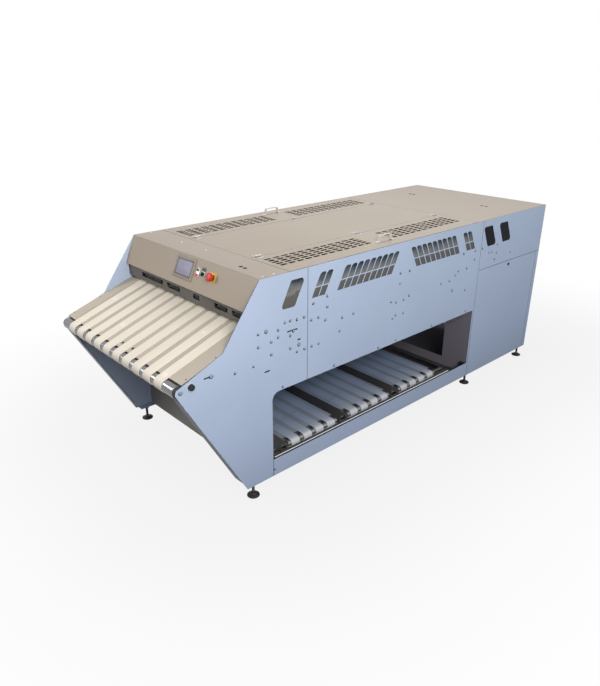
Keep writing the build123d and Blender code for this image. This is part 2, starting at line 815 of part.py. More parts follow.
hinge_ys = [lid_y + share * lid_length for share in hinge_shares]
knuckle = hinge_length * hinge_knuckle_share
middle_knuckle = hinge_length - 2 * knuckle - 2 * hinge_gap
leaf_start = hinge_barrel_radius + hinge_gap
leaf_mid = (leaf_start + hinge_leaf_width) / 2
neck_mid = leaf_start / 2
handle_x = half_width - handle_inset
handle_y = lid_y + handle_share * lid_length
with BuildPart() as right_lid_fittings:
    with BuildSketch(Plane.XY.offset(machine_height)):
        for hinge_y in hinge_ys:
            with Locations((hinge_x + leaf_mid, hinge_y)):
                Rectangle(hinge_leaf_width - leaf_start, hinge_length)
            with Locations((hinge_x + neck_mid, hinge_y)):
                Rectangle(leaf_start, middle_knuckle)
    extrude(amount=hinge_leaf)
    for hinge_y in hinge_ys:
        with BuildSketch(front_plane(hinge_y - middle_knuckle / 2)):
            with Locations((hinge_x, hinge_z)):
                RegularPolygon(hinge_barrel_radius, turned_sides)
        extrude(amount=-middle_knuckle)
        with BuildSketch(front_plane(hinge_y - middle_knuckle / 2)):
            with Locations((hinge_x, hinge_z)):
                RegularPolygon(hinge_pin_radius + shaft_fit, turned_sides, major_radius=False)
        extrude(amount=-middle_knuckle, mode=Mode.SUBTRACT)
    handle_mid = machine_height + handle_height / 2
    handle_foot_y = handle_length / 2 + handle_foot / 2
    with BuildSketch(side_plane(handle_x)):
        with Locations((handle_y, handle_mid)):
            Rectangle(handle_length, handle_height)
        with Locations((handle_y, handle_mid - handle_bar)):
            Rectangle(handle_length - 2 * handle_bar, handle_height, mode=Mode.SUBTRACT)
        foot_z = machine_height + handle_bar / 2
        with Locations(*[(handle_y + end * handle_foot_y, foot_z) for end in (-1, 1)]):
            Rectangle(handle_foot, handle_bar)
    extrude(amount=handle_width / 2, both=True)
write(right_lid_fittings, "right_lid_fittings")

with BuildPart() as left_lid_fittings:
    mirror(right_lid_fittings.part, about=Plane.YZ)
write(left_lid_fittings, "left_lid_fittings")

# Lid hinges: fixed leaves with two outer knuckles each, and the pins that run through them
outer_knuckle = (hinge_length - knuckle) / 2
with BuildPart() as lid_hinges:
    with BuildSketch(Plane.XY.offset(machine_height)):
        for hinge_y in hinge_ys:
            with Locations((hinge_x - leaf_mid, hinge_y)):
                Rectangle(hinge_leaf_width - leaf_start, hinge_length)
            with Locations((hinge_x - neck_mid, hinge_y - outer_knuckle)):
                Rectangle(leaf_start, knuckle)
            with Locations((hinge_x - neck_mid, hinge_y + outer_knuckle)):
                Rectangle(leaf_start, knuckle)
    extrude(amount=hinge_leaf)
    for hinge_y in hinge_ys:
        for end in (-1, 1):
            with BuildSketch(front_plane(hinge_y + end * outer_knuckle - knuckle / 2)):
                with Locations((hinge_x, hinge_z)):
                    RegularPolygon(hinge_barrel_radius, turned_sides)
            extrude(amount=-knuckle)
            with BuildSketch(front_plane(hinge_y + end * outer_knuckle - knuckle / 2)):
                with Locations((hinge_x, hinge_z)):
                    RegularPolygon(hinge_pin_radius + shaft_fit, turned_sides, major_radius=False)
            extrude(amount=-knuckle, mode=Mode.SUBTRACT)
        with BuildSketch(front_plane(hinge_y - hinge_length / 2)):
            with Locations((hinge_x, hinge_z)):
                RegularPolygon(hinge_pin_radius, turned_sides)
        extrude(amount=-hinge_length)
    mirror(about=Plane.YZ)
write(lid_hinges, "lid_hinges")

# Service door: folded panel that tilts out on its bottom edge, with a hole for the lock
door_front = rear_start
door_y = (door_front + door_rear) / 2
lock_z = door_top - lock_drop
flange_low = bay_floor + seam
side_flange_z = (flange_low + door_top) / 2
with BuildPart() as cabinet_door:
    with BuildSketch(side_plane(inner_x)):
        with Locations((door_y, (ground_clearance + door_top) / 2)):
            Rectangle(door_rear - door_front, door_top - ground_clearance)
        with Locations((door_y, lock_z)):
            RegularPolygon(
                lock_barrel_radius + shaft_fit, turned_sides, major_radius=False, mode=Mode.SUBTRACT
            )
    extrude(amount=plate)
    post_rear = post_y + tube / 2 + seam
    flange_span = door_rear - seam - post_rear
    flange_mid = post_rear + flange_span / 2
    with BuildSketch(side_plane(inner_x - door_flange)):
        with Locations((flange_mid, door_top - cover_sheet / 2), (flange_mid, flange_low + cover_sheet / 2)):
            Rectangle(flange_span, cover_sheet)
        with Locations((post_rear, side_flange_z), (post_rear + flange_span, side_flange_z)):
            Rectangle(cover_sheet, door_top - flange_low)
    extrude(amount=door_flange)
write(cabinet_door, "cabinet_door")

cam_x = inner_x - catch_depth - lock_cam_gap
with BuildPart() as door_lock:
    with BuildSketch(side_plane(half_width)):
        with Locations((door_y, lock_z)):
            RegularPolygon(lock_head_radius, ring_sides)
    extrude(amount=lock_head)
    with BuildSketch(side_plane(cam_x)):
        with Locations((door_y, lock_z)):
            RegularPolygon(lock_barrel_radius, turned_sides)
    extrude(amount=half_width - cam_x)
    with BuildSketch(side_plane(cam_x)):
        with Locations((door_y - lock_cam_length / 2 + lock_cam_width / 2, lock_z)):
            Rectangle(lock_cam_length, lock_cam_width)
    extrude(amount=-cover_sheet)
write(door_lock, "door_lock")

# Control plate and the gear on it, standing in the rear cabinet behind the service door
control_x = rail_x - control_plate_setback
control_front = bay_rear + cover_sheet + seam
control_rear = rear_in - seam
control_y = (control_front + control_rear) / 2
control_length = control_rear - control_front
with BuildPart() as control_plate:
    with BuildSketch(front_plane(control_front)):
        with BuildLine():
            Polyline(
                (control_x, base_tube_top),
                (control_x + control_plate_foot, base_tube_top),
                (control_x + control_plate_foot, base_tube_top + cover_sheet),
                (control_x + cover_sheet, base_tube_top + cover_sheet),
                (control_x + cover_sheet, base_tube_top + control_plate_height),
                (control_x, base_tube_top + control_plate_height),
                close=True,
            )
        make_face()
    extrude(amount=-control_length)
write(control_plate, "control_plate")

with BuildPart() as control_gear:
    for along, up, length, height, depth in gear_shares:
        with BuildSketch(side_plane(control_x + cover_sheet)):
            with Locations((control_y + along * control_length, base_tube_top + up * control_plate_height)):
                Rectangle(length * control_length, height * control_plate_height)
        extrude(amount=depth * control_plate_height)
write(control_gear, "control_gear")

# Touch panel: moulded housing that seats in the fascia cut-out, with the screen let into its face
with BuildPart() as touch_panel_housing:
    with BuildSketch(fascia_plane):
        with Locations((0, -control_row_drop)):
            Rectangle(screen_housing_width, screen_housing_height)
    extrude(amount=screen_housing_depth, taper=screen_housing_taper)
    with BuildSketch(fascia_plane):
        with Locations((0, -control_row_drop)):
            Rectangle(screen_body_width, screen_body_height)
    extrude(amount=-screen_body_depth)
    with BuildSketch(fascia_plane.offset(screen_housing_depth - screen_recess)):
        with Locations((0, -control_row_drop)):
            Rectangle(screen_width, screen_height)
    extrude(amount=screen_recess, mode=Mode.SUBTRACT)
write(touch_panel_housing, "touch_panel_housing")

with BuildPart() as touch_panel_screen:
    with BuildSketch(fascia_plane.offset(screen_housing_depth - screen_recess)):
        with Locations((0, -control_row_drop)):
            Rectangle(screen_width, screen_height)
    extrude(amount=screen_recess / 2)
write(touch_panel_screen, "touch_panel_screen")

# Switch bezels: fixed rings of the push buttons, selector, stop button and side button
side_button_plane = Plane(
    origin=(half_width, side_button_y, side_button_z), x_dir=(0, 1, 0), z_dir=(1, 0, 0)
)
round_switches = (
    (fascia_plane, (selector_offset, -control_row_drop), selector_ring_radius, selector_ring),
    (fascia_plane, (estop_offset, -control_row_drop), estop_ring_radius, estop_ring),
    (side_button_plane, (0, 0), side_ring_radius, side_ring),
)
with BuildPart() as switch_bezels:
    with BuildSketch(fascia_plane):
        with Locations((pushbutton_offset, -control_row_drop)):
            Rectangle(pushbutton_bezel_width, pushbutton_bezel_height)
        with Locations(*button_places):
            Rectangle(
                pushbutton_width + 2 * control_fit, pushbutton_height + 2 * control_fit, mode=Mode.SUBTRACT
            )
    extrude(amount=pushbutton_bezel)
    for switch_plane, place, ring_radius, ring in round_switches:
        with BuildSketch(switch_plane):
            with Locations(place):
                RegularPolygon(ring_radius, ring_sides)
                RegularPolygon(switch_bore, turned_sides, major_radius=False, mode=Mode.SUBTRACT)
        extrude(amount=ring)
write(switch_bezels, "switch_bezels")

# Push buttons: square caps that run in the bezel and through the fascia
for button_name, place in zip(("start_button", "stop_button"), button_places):
    with BuildPart() as push_button:
        with BuildSketch(fascia_plane.offset(-switch_stem_depth)):
            with Locations(place):
                Rectangle(pushbutton_width, pushbutton_height)
        extrude(amount=switch_stem_depth + pushbutton_bezel + pushbutton_proud)
        chamfer(
            push_button.faces().sort_by(Axis(fascia_plane.origin, fascia_plane.z_dir))[-1].edges(),
            length=pushbutton_proud / 4,
        )
    write(push_button, button_name)

# Selector knob: turned base with a grip bar across it
selector_place = (selector_offset, -control_row_drop)
with BuildPart() as selector_knob:
    with BuildSketch(fascia_plane.offset(-switch_stem_depth)):
        with Locations(selector_place):
            RegularPolygon(switch_stem_radius, turned_sides)
    extrude(amount=switch_stem_depth + selector_ring + control_fit)
    with BuildSketch(fascia_plane.offset(selector_ring + control_fit)):
        with Locations(selector_place):
            RegularPolygon(selector_radius, ring_sides)
    extrude(amount=selector_base)
    with BuildSketch(fascia_plane.offset(selector_ring + control_fit + selector_base)):
        with Locations(selector_place):
            Rectangle(selector_grip_width, 2 * selector_radius - selector_grip_width)
    extrude(amount=selector_grip)
write(selector_knob, "selector_knob")

# Stop and side buttons: mushroom heads turned with their stems
mushrooms = (
    ("estop_button", fascia_plane, (estop_offset, -control_row_drop), estop_ring, estop_radius, estop_head,
     estop_travel),
    ("side_button", side_button_plane, (0, 0), side_ring, side_button_radius, side_button_head,
     side_button_travel),
)
for mushroom_name, switch_plane, place, ring, head_radius, head, travel in mushrooms:
    head_low = ring + travel + control_fit
    with BuildPart() as mushroom:
        with BuildSketch(switch_plane.offset(travel - switch_stem_depth)):
            with Locations(place):
                RegularPolygon(switch_stem_radius, turned_sides)
        extrude(amount=switch_stem_depth - travel + head_low)
        with BuildSketch(switch_plane.offset(head_low)):
            with Locations(place):
                RegularPolygon(head_radius, ring_sides)
        extrude(amount=head)
        chamfer(
            mushroom.faces().sort_by(Axis(switch_plane.origin, switch_plane.z_dir))[-1].edges(),
            length=head / 2,
        )
    write(mushroom, mushroom_name)

# Feed bed: slider plate under the belts with raised strips beside the plates
feed_turn = math.radians(feed_angle)
belt_inner = belt_outer - belt_sheet
wrap_share = math.cos(math.pi / (2 * wrap_facets))
roller_radius = belt_inner * wrap_share - belt_fit
bed_top = belt_inner - belt_fit
bed_length = feed_span - 2 * bed_end_gap


def feed_plane(x):
    """Plane across the feed table, drawn along the slope from the nose axis."""
    return Plane(
        origin=(x, nose_y, nose_z),
        x_dir=(0, math.cos(feed_turn), math.sin(feed_turn)),
        z_dir=(1, 0, 0),
    )


def belt_loop(first, second, radius):
    """Corners of an endless belt round two axes, in flats over each roller."""
    start = math.atan2(second[1] - first[1], second[0] - first[0]) - math.pi / 2
    corners = []
    for axis, begin in ((second, start), (first, start + math.pi)):
        for step in range(wrap_facets + 1):
            turn = begin + math.pi * step / wrap_facets
            corners.append((axis[0] + radius * math.cos(turn), axis[1] + radius * math.sin(turn)))
    return corners


with BuildPart() as infeed_bed:
    with BuildSketch(feed_plane(-inner_x)):
        with Locations((feed_span / 2, bed_top - bed_sheet / 2)):
            Rectangle(bed_length, bed_sheet)
    extrude(amount=2 * inner_x)
    for strip_start in (-inner_x, strip_edge):
        with BuildSketch(feed_plane(strip_start)):
            with Locations((feed_span / 2, (bed_top + belt_outer) / 2)):
                Rectangle(bed_length, belt_outer - bed_top)
        extrude(amount=inner_x - strip_edge)
write(infeed_bed, "infeed_bed")

# Feed belts: ten endless belts round the nose roller and the drive roller
belt_xs = [(step - (belt_count - 1) / 2) * belt_pitch for step in range(belt_count)]
with BuildPart() as infeed_belts:
    for belt_x in belt_xs:
        with BuildSketch(feed_plane(belt_x - belt_width / 2)):
            Polygon(*belt_loop((0, 0), (feed_span, 0), belt_outer), align=None)
            Polygon(*belt_loop((0, 0), (feed_span, 0), belt_inner), align=None, mode=Mode.SUBTRACT)
        extrude(amount=belt_width)
write(infeed_belts, "infeed_belts")

# Transport belt: one wide endless belt over the stack bay
drive_axis = on_slope(nose_axis, feed_angle, feed_span)
transport_front = (drive_axis[0] + transfer_gap, drive_axis[1] - transport_drop)
transport_rear = (transport_front[0] + transport_span, transport_front[1])
with BuildPart() as transport_belt:
    with BuildSketch(side_plane(-strip_edge)):
        Polygon(*belt_loop(transport_front, transport_rear, belt_outer), align=None)
        Polygon(*belt_loop(transport_front, transport_rear, belt_inner), align=None, mode=Mode.SUBTRACT)
    extrude(amount=2 * strip_edge)
write(transport_belt, "transport_belt")


def roller_on(axis_plane, body, body_length, pin_radius, pin_length):
    """Roller with a stub shaft at each end, standing square on a plane through its middle."""
    with BuildPart() as roller:
        with BuildSketch(axis_plane.offset(-pin_length / 2)):
            RegularPolygon(pin_radius, turned_sides)
        extrude(amount=pin_length)
        with BuildSketch(axis_plane.offset(-body_length / 2)):
            add(body)
        extrude(amount=body_length)
    return roller


# Rollers of the feed table and of the transport belt, and the bearings that carry them
roller_length = 2 * (inner_x - bearing_depth - roller_end_gap)
roller_shaft = 2 * inner_x - bearing_depth / 2
long_rollers = (
    ("nose_roller", nose_axis),
    ("infeed_drive_roller", drive_axis),
    ("transport_front_roller", transport_front),
    ("transport_rear_roller", transport_rear),
)
for roller_name, roller_axis in long_rollers:
    roller_plane = Plane(origin=(0,) + roller_axis, x_dir=(0, 1, 0), z_dir=(1, 0, 0))
    long_roller = roller_on(
        roller_plane, RegularPolygon(roller_radius, roller_sides), roller_length, shaft_radius, roller_shaft
    )
    write(long_roller, roller_name)

knife_axis = (transport_rear[0] + knife_setback, transport_rear[1] + knife_rise)
bearing_places = [roller_axis for roller_name, roller_axis in long_rollers] + [knife_axis]
with BuildPart() as roller_bearings:
    with BuildSketch(side_plane(inner_x - bearing_depth)):
        with Locations(*bearing_places):
            Rectangle(bearing_size, bearing_size)
            RegularPolygon(shaft_radius + shaft_fit, turned_sides, major_radius=False, mode=Mode.SUBTRACT)
    extrude(amount=bearing_depth)
    mirror(about=Plane.YZ)
write(roller_bearings, "roller_bearings")

# Fold knife: thin blade hung from its rocking shaft behind the transport belt
knife_reach = inner_x - knife_end_gap
with BuildPart() as fold_knife:
    with BuildSketch(side_plane(-roller_shaft / 2)):
        with Locations(knife_axis):
            RegularPolygon(shaft_radius, turned_sides)
    extrude(amount=roller_shaft)
    with BuildSketch(front_plane(knife_axis[0] - knife_blade / 2)):
        with Locations((0, knife_axis[1] - knife_depth / 2)):
            Rectangle(2 * knife_reach, knife_depth)
    extrude(amount=-knife_blade)
write(fold_knife, "fold_knife")

# Blow pipes: two air pipes between the front side plates, above the transport belt
pipe_places = [
    (transport_front[0] + step * pipe_pitch, transport_front[1] + pipe_rise) for step in range(2)
]
with BuildPart() as blow_pipes:
    with BuildSketch(side_plane(-inner_x)):
        with Locations(*pipe_places):
            RegularPolygon(pipe_radius, pad_sides)
    extrude(amount=2 * inner_x)
write(blow_pipes, "blow_pipes")

# Stackers: three conveyors across the bay, each a folded bed with four belts and two rollers
stacker_inner = (stacker_roller_radius + belt_fit) / wrap_share
stacker_outer = stacker_inner + belt_sheet
stacker_axle_x = rail_x - stacker_end_gap - stacker_outer
stacker_z = bay_floor + stacker_rise - stacker_outer
stacker_ys = [bay_front + stacker_lead + step * stacker_pitch for step in range(stacker_count)]
cheek_in = stacker_roller_length / 2 + cheek_gap
cheek_reach = stacker_axle_x - cheek_setback
cheek_top = stacker_z + stacker_inner - belt_fit
cheek_low = base_tube_top
ear_reach = stacker_axle_x + cheek_ear / 2
axle_bore = stacker_shaft_radius + shaft_fit
axle_slot = axle_bore + cheek_ear / 2 + overrun
axle_slot_x = stacker_axle_x - axle_bore + axle_slot / 2
with BuildPart() as stacker_beds:
    for stacker_y in stacker_ys:
        for cheek_start in (stacker_y - cheek_in - cheek, stacker_y + cheek_in):
            with BuildSketch(front_plane(cheek_start)):
                with Locations((0, (cheek_low + cheek_top) / 2)):
                    Rectangle(2 * cheek_reach, cheek_top - cheek_low)
                with Locations((0, stacker_z)):
                    Rectangle(2 * ear_reach, cheek_ear)
                with Locations((axle_slot_x, stacker_z), (-axle_slot_x, stacker_z)):
                    Rectangle(axle_slot, 2 * axle_bore, mode=Mode.SUBTRACT)
            extrude(amount=-cheek)
        with BuildSketch(front_plane(stacker_y - cheek_in)):
            with Locations((0, cheek_top - bed_sheet / 2)):
                Rectangle(2 * cheek_reach, bed_sheet)
        extrude(amount=-2 * cheek_in)
write(stacker_beds, "stacker_beds")

stacker_belt_ys = [
    stacker_y + (step - (stacker_belt_count - 1) / 2) * stacker_belt_pitch
    for stacker_y in stacker_ys
    for step in range(stacker_belt_count)
]
stacker_belt_width = stacker_belt_pitch - belt_gap
stacker_axles = ((-stacker_axle_x, 0), (stacker_axle_x, 0))
with BuildPart() as stacker_belts:
    for belt_y in stacker_belt_ys:
        with BuildSketch(front_plane(belt_y - stacker_belt_width / 2)):
            with Locations((0, stacker_z)):
                Polygon(*belt_loop(*stacker_axles, stacker_outer), align=None)
                Polygon(*belt_loop(*stacker_axles, stacker_inner), align=None, mode=Mode.SUBTRACT)
        extrude(amount=-stacker_belt_width)
write(stacker_belts, "stacker_belts")

stacker_shaft = 2 * (cheek_in + cheek)
for number, stacker_y in enumerate(stacker_ys, start=1):
    for end_name, end in (("outer", 1), ("inner", -1)):
        stacker_plane = Plane(
            origin=(end * stacker_axle_x, stacker_y, stacker_z), x_dir=(1, 0, 0), z_dir=(0, 1, 0)
        )
        stacker_roller = roller_on(
            stacker_plane,
            RegularPolygon(stacker_roller_radius, pad_sides),
            stacker_roller_length,
            stacker_shaft_radius,
            stacker_shaft,
        )
        write(stacker_roller, f"stacker_{number}_{end_name}_roller")

# Gearmotors: one on the left front plate for the feed, one inside each stacker bed
gearbox_y = bay_front + gearbox_setback
gearbox_z = bay_roof + gearbox_rise
with BuildPart() as infeed_gearmotor:
    with BuildSketch(side_plane(-inner_x)):
        with Locations((gearbox_y, gearbox_z)):
            Rectangle(gearbox_size, gearbox_size)
    extrude(amount=gearbox_width)
    with BuildSketch(side_plane(gearbox_width - inner_x)):
        with Locations((gearbox_y, gearbox_z)):
            RegularPolygon(motor_radius, pad_sides)
    extrude(amount=motor_length)
write(infeed_gearmotor, "infeed_gearmotor")

stacker_motor_x = stacker_motor_inset - cheek_reach
stacker_motor_z = base_tube_top + stacker_motor_lift + stacker_gearbox / 2
with BuildPart() as stacker_gearmotors:
    for stacker_y in stacker_ys:
        with BuildSketch(side_plane(stacker_motor_x)):
            with Locations((stacker_y - cheek_in + stacker_gearbox / 2, stacker_motor_z)):
                Rectangle(stacker_gearbox, stacker_gearbox)
        extrude(amount=stacker_gearbox)
        with BuildSketch(side_plane(stacker_motor_x + stacker_gearbox)):
            with Locations((stacker_y - cheek_in + stacker_gearbox / 2, stacker_motor_z)):
                RegularPolygon(stacker_motor_radius, pad_sides)
        extrude(amount=stacker_motor_length)
write(stacker_gearmotors, "stacker_gearmotors")

# Levelling feet: coned pads and threaded stems under each base rail
foot_x = half_width - foot_inset
foot_ys = (tip_y + front_foot_setback, bay_rear + middle_foot_setback, rear_y - rear_foot_setback)
foot_places = [(side * foot_x, foot_y) for foot_y in foot_ys for side in (1, -1)]
foot_taper = math.degrees(math.atan2(foot_radius - foot_neck_radius, foot_height - foot_rim))
with BuildPart() as foot_pads:
    with BuildSketch(Plane.XY):
        with Locations(*foot_places):
            RegularPolygon(foot_radius, pad_sides)
    extrude(amount=foot_rim)
    for foot_place in foot_places:
        with BuildSketch(Plane.XY.offset(foot_rim)):
            with Locations(foot_place):
                RegularPolygon(foot_radius, pad_sides)
        extrude(amount=foot_height - foot_rim, taper=foot_taper)
write(foot_pads, "foot_pads")

with BuildPart() as foot_stems:
    with BuildSketch(Plane.XY.offset(foot_height)):
        with Locations(*foot_places):
            RegularPolygon(stem_radius, turned_sides)
    extrude(amount=ground_clearance - foot_height)
write(foot_stems, "foot_stems")
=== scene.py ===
import math

import bmesh
import bpy
from mathutils import Matrix, Vector


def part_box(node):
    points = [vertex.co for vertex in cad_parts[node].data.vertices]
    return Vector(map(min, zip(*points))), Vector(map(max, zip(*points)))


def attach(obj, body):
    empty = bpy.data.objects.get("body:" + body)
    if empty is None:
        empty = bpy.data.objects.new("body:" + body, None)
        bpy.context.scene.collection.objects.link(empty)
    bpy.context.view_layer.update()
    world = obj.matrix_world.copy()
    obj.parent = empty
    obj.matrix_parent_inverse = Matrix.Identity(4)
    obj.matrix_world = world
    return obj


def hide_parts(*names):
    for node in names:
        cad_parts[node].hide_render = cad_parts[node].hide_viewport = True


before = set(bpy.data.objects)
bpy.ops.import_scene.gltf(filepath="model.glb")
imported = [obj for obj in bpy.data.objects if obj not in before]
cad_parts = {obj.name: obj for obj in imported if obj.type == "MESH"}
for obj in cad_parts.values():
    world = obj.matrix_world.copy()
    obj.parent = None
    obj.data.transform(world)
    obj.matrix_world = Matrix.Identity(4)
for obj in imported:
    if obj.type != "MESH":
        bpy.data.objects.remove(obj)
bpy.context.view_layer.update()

# The studio: a pale floor that runs out of sight, soft lights overhead and on the open side, and weaker fills
# for the other sides. Under the machine the floor is painted dark as a painted shadow, and its white glow fades
# out there.
# The camera stands above head height off the right front corner and looks down on the machine.
stage_scene = bpy.context.scene
stage_scene.view_settings.view_transform = "Standard"

camera_lens = bpy.data.cameras.new("camera")
camera_lens.lens = 32.547
camera_lens.clip_end = 200
camera = bpy.data.objects.new("camera", camera_lens)
stage_scene.collection.objects.link(camera)
camera_place, camera_roll = (3.493, -3.608, 2.652), math.radians(0.2)
line_of_sight = Vector((-0.67465, 0.62196, -0.39752))
camera.matrix_world = (
    Matrix.Translation(camera_place)
    @ line_of_sight.to_track_quat("-Z", "Y").to_matrix().to_4x4()
    @ Matrix.Rotation(camera_roll, 4, "Z")
)
stage_scene.camera = camera


def new_finish(name):
    """An empty finish, with its node tree and its shader."""
    finish = bpy.data.materials.new(name)
    finish.use_nodes = True
    return finish, finish.node_tree, finish.node_tree.nodes["Principled BSDF"]


def fed(tree, node, feeds):
    """The node with each input set to a value or joined to an output. A node stands for its first output."""
    for socket, feed in feeds.items():
        if isinstance(feed, bpy.types.Node):
            feed = feed.outputs[0]
        if isinstance(feed, bpy.types.NodeSocket):
            tree.links.new(feed, node.inputs[socket])
        else:
            node.inputs[socket].default_value = feed
    return node


def wired(tree, kind, feeds, **settings):
    """A new shader node of that kind, with its settings and inputs."""
    node = tree.nodes.new("ShaderNode" + kind)
    for setting, value in settings.items():
        setattr(node, setting, value)
    return fed(tree, node, feeds)


def here(tree):
    """Where a point lies in the frame of its piece."""
    return wired(tree, "TexCoord", {}).outputs["Object"]


def ramp(tree, amount, stops, steps="LINEAR"):
    """The shades at those shares of the way, as amount goes from 0 to 1."""
    node = wired(tree, "ValToRGB", {"Fac": amount})
    band = node.color_ramp
    band.interpolation = steps
    band.elements.remove(band.elements[1])
    band.elements[0].position = stops[0][0]
    band.elements[0].color = (*stops[0][1], 1)
    for share, shade in stops[1:]:
        band.elements.new(share).color = (*shade, 1)
    return node


def rays_to_the_eye(tree):
    """1 for rays that show the backdrop itself, straight on, in metal or through glass, and 0 for light."""
    path = wired(tree, "LightPath", {}).outputs
    mirrored = wired(tree, "Math", {0: path["Is Camera Ray"], 1: path["Is Glossy Ray"]}, operation="MAXIMUM")
    return wired(tree, "Math", {0: mirrored, 1: path["Is Transmission Ray"]}, operation="MAXIMUM")


sky = bpy.data.worlds.new("studio_sky")
sky.use_nodes = True
stage_scene.world = sky
sky_tree = sky.node_tree
sky_way = wired(sky_tree, "TexCoord", {}).outputs["Generated"]
sky_height = wired(sky_tree, "SeparateXYZ", {"Vector": sky_way}).outputs["Z"]
sky_rise = wired(sky_tree, "MapRange", {"Value": sky_height, "From Min": -0.1, "To Min": 0.05, "To Max": 0.50})
sky_light = fed(sky_tree, sky_tree.nodes["Background"], {"Color": (0.88, 0.94, 1.0, 1), "Strength": sky_rise})
sky_white = wired(sky_tree, "Background", {"Color": (1, 1, 1, 1)})
sky_mix = wired(sky_tree, "MixShader", {"Fac": rays_to_the_eye(sky_tree), 1: sky_light, 2: sky_white})
fed(sky_tree, sky_tree.nodes["World Output"], {"Surface": sky_mix})

floor_form = bmesh.new()
bmesh.ops.create_grid(floor_form, x_segments=1, y_segments=1, size=60)
floor_mesh = bpy.data.meshes.new("floor")
floor_form.to_mesh(floor_mesh)
floor_form.free()
floor = bpy.data.objects.new("floor", floor_mesh)
stage_scene.collection.objects.link(floor)
floor_paper, paper_tree, paper_gloss = new_finish("floor_paper")
paper_tree.nodes.remove(paper_gloss)
# The footprint where the floor is painted dark as a painted shadow of the machine.
shade_middle, shade_half, shade_reach = (-0.13, 0.5425, 0), (0.47, 1.6125, 0), 3
paper_from = here(paper_tree)
for step, amount in (
    ("SUBTRACT", shade_middle), ("ABSOLUTE", (0, 0, 0)), ("SUBTRACT", shade_half), ("MAXIMUM", (0, 0, 0)),
):
    paper_from = wired(paper_tree, "VectorMath", {0: paper_from, 1: amount}, operation=step)
paper_away = wired(paper_tree, "VectorMath", {0: paper_from}, operation="LENGTH").outputs["Value"]
paper_reach = wired(paper_tree, "MapRange", {"Value": paper_away, "From Max": shade_reach})
paper_fade = ramp(
    paper_tree, paper_reach, ((0, (0, 0, 0)), (0.06, (0.86, 0.86, 0.86)), (1, (1, 1, 1))), "EASE"
)
# Painted shadow: the floor's own colour is darker inside the footprint.
paper_shadow_tone = wired(
    paper_tree, "Mix", {"Factor": paper_fade, 6: (0.08, 0.08, 0.09, 1), 7: (0.17, 0.175, 0.19, 1)},
    data_type="RGBA",
)
paper_matte = wired(paper_tree, "BsdfDiffuse", {"Color": paper_shadow_tone.outputs[2]})
paper_white = wired(paper_tree, "Emission", {"Strength": 1})
paper_share = wired(paper_tree, "Math", {0: rays_to_the_eye(paper_tree), 1: paper_fade}, operation="MULTIPLY")
paper_mix = wired(paper_tree, "MixShader", {"Fac": paper_share, 1: paper_matte, 2: paper_white})
fed(paper_tree, paper_tree.nodes["Material Output"], {"Surface": paper_mix})
floor_mesh.materials.append(floor_paper)


def softbox(name, place, aim, size, watts, colour):
    """A square soft light at place that faces aim."""
    lamp = bpy.data.lights.new(name, "AREA")
    lamp.shape = "SQUARE"
    lamp.size = size
    lamp.energy = watts
    lamp.color = colour
    holder = bpy.data.objects.new(name, lamp)
    stage_scene.collection.objects.link(holder)
    facing = (Vector(aim) - Vector(place)).to_track_quat("-Z", "Y")
    holder.matrix_world = Matrix.Translation(place) @ facing.to_matrix().to_4x4()


softbox("overhead", (-0.5, 1.3, 5.5), (-0.2, 0.8, 1.5), 3, 104, (1.0, 0.98, 0.94))
softbox("open_side", (5.6, -3.6, 4.0), (0.4, -0.4, 1.1), 2.5, 350, (1.0, 0.985, 0.96))
softbox("rear_fill", (6.0, 3.5, 3.5), (0.7, 1.2, 1.1), 3, 40, (0.68, 0.85, 1.0))
softbox("front_fill", (-2.4, -4.0, 2.9), (-0.3, -1.6, 1.1), 1, 52, (1.0, 0.985, 0.96))
softbox("left_fill", (-6.5, 0.5, 0.9), (0, 0.3, 0.9), 1.2, 150, (0.98, 0.985, 1.0))
softbox("back_fill", (-2.0, 7.5, 0.9), (0, 2.0, 0.9), 1.2, 110, (0.98, 0.985, 1.0))

# Levelling feet: six black plastic pads on threaded steel stems, each with a lock nut under the frame.
# The pads are moulded, the stems are screwed up or down once when the machine is set level.


def turned(outline, steps, centre=(0, 0, 0), axis=(0, 0, 1)):
    """A lathe form: outline holds pairs of radius and distance along the axis, from one end to the other."""
    bm = bmesh.new()
    along = Vector(axis).normalized()
    outward = along.orthogonal().normalized()
    points = [bm.verts.new(Vector(centre) + outward * r + along * d) for r, d in outline]
    edges = [bm.edges.new(pair) for pair in zip(points, points[1:])]
    bmesh.ops.spin(
        bm, geom=points + edges, cent=centre, axis=along, angle=math.tau, steps=steps, use_merge=True
    )
    bmesh.ops.remove_doubles(bm, verts=bm.verts, dist=1e-6)
    bmesh.ops.recalc_face_normals(bm, faces=bm.faces)
    return bm


def verts_of(geometry):
    return [part for part in geometry if isinstance(part, bmesh.types.BMVert)]


def eased(bm, edges, offset, segments):
    """The form with these edges rounded."""
    bmesh.ops.bevel(
        bm, geom=edges, offset=offset, segments=segments, profile=0.5, affect="EDGES", material=-1
    )
    return bm


def repeated(bm, shifts):
    """The form again at each shift, and the first one taken away."""
    first = list(bm.verts) + list(bm.edges) + list(bm.faces)
    for shift in shifts:
        twin = bmesh.ops.duplicate(bm, geom=first)
        bmesh.ops.translate(bm, verts=verts_of(twin["geom"]), vec=shift)
    bmesh.ops.delete(bm, geom=verts_of(first), context="VERTS")
    return bm


def joined(*forms):
    """Several forms as one."""
    whole = bmesh.new()
    for form in forms:
        passing = bpy.data.meshes.new("passing")
        form.to_mesh(passing)
        form.free()
        whole.from_mesh(passing)
        bpy.data.meshes.remove(passing)
    return whole


def fitted(bm, name, finish, body="machine_frame", crease=35):
    """The form as a piece that moves with its body, smooth but for edges sharper than crease."""
    mesh = bpy.data.meshes.new(name)
    bm.to_mesh(mesh)
    bm.free()
    mesh.materials.append(finish)
    mesh.shade_smooth()
    mesh.set_sharp_from_angle(angle=math.radians(crease))
    piece = bpy.data.objects.new(name, mesh)
    stage_scene.collection.objects.link(piece)
    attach(piece, body)
    return piece


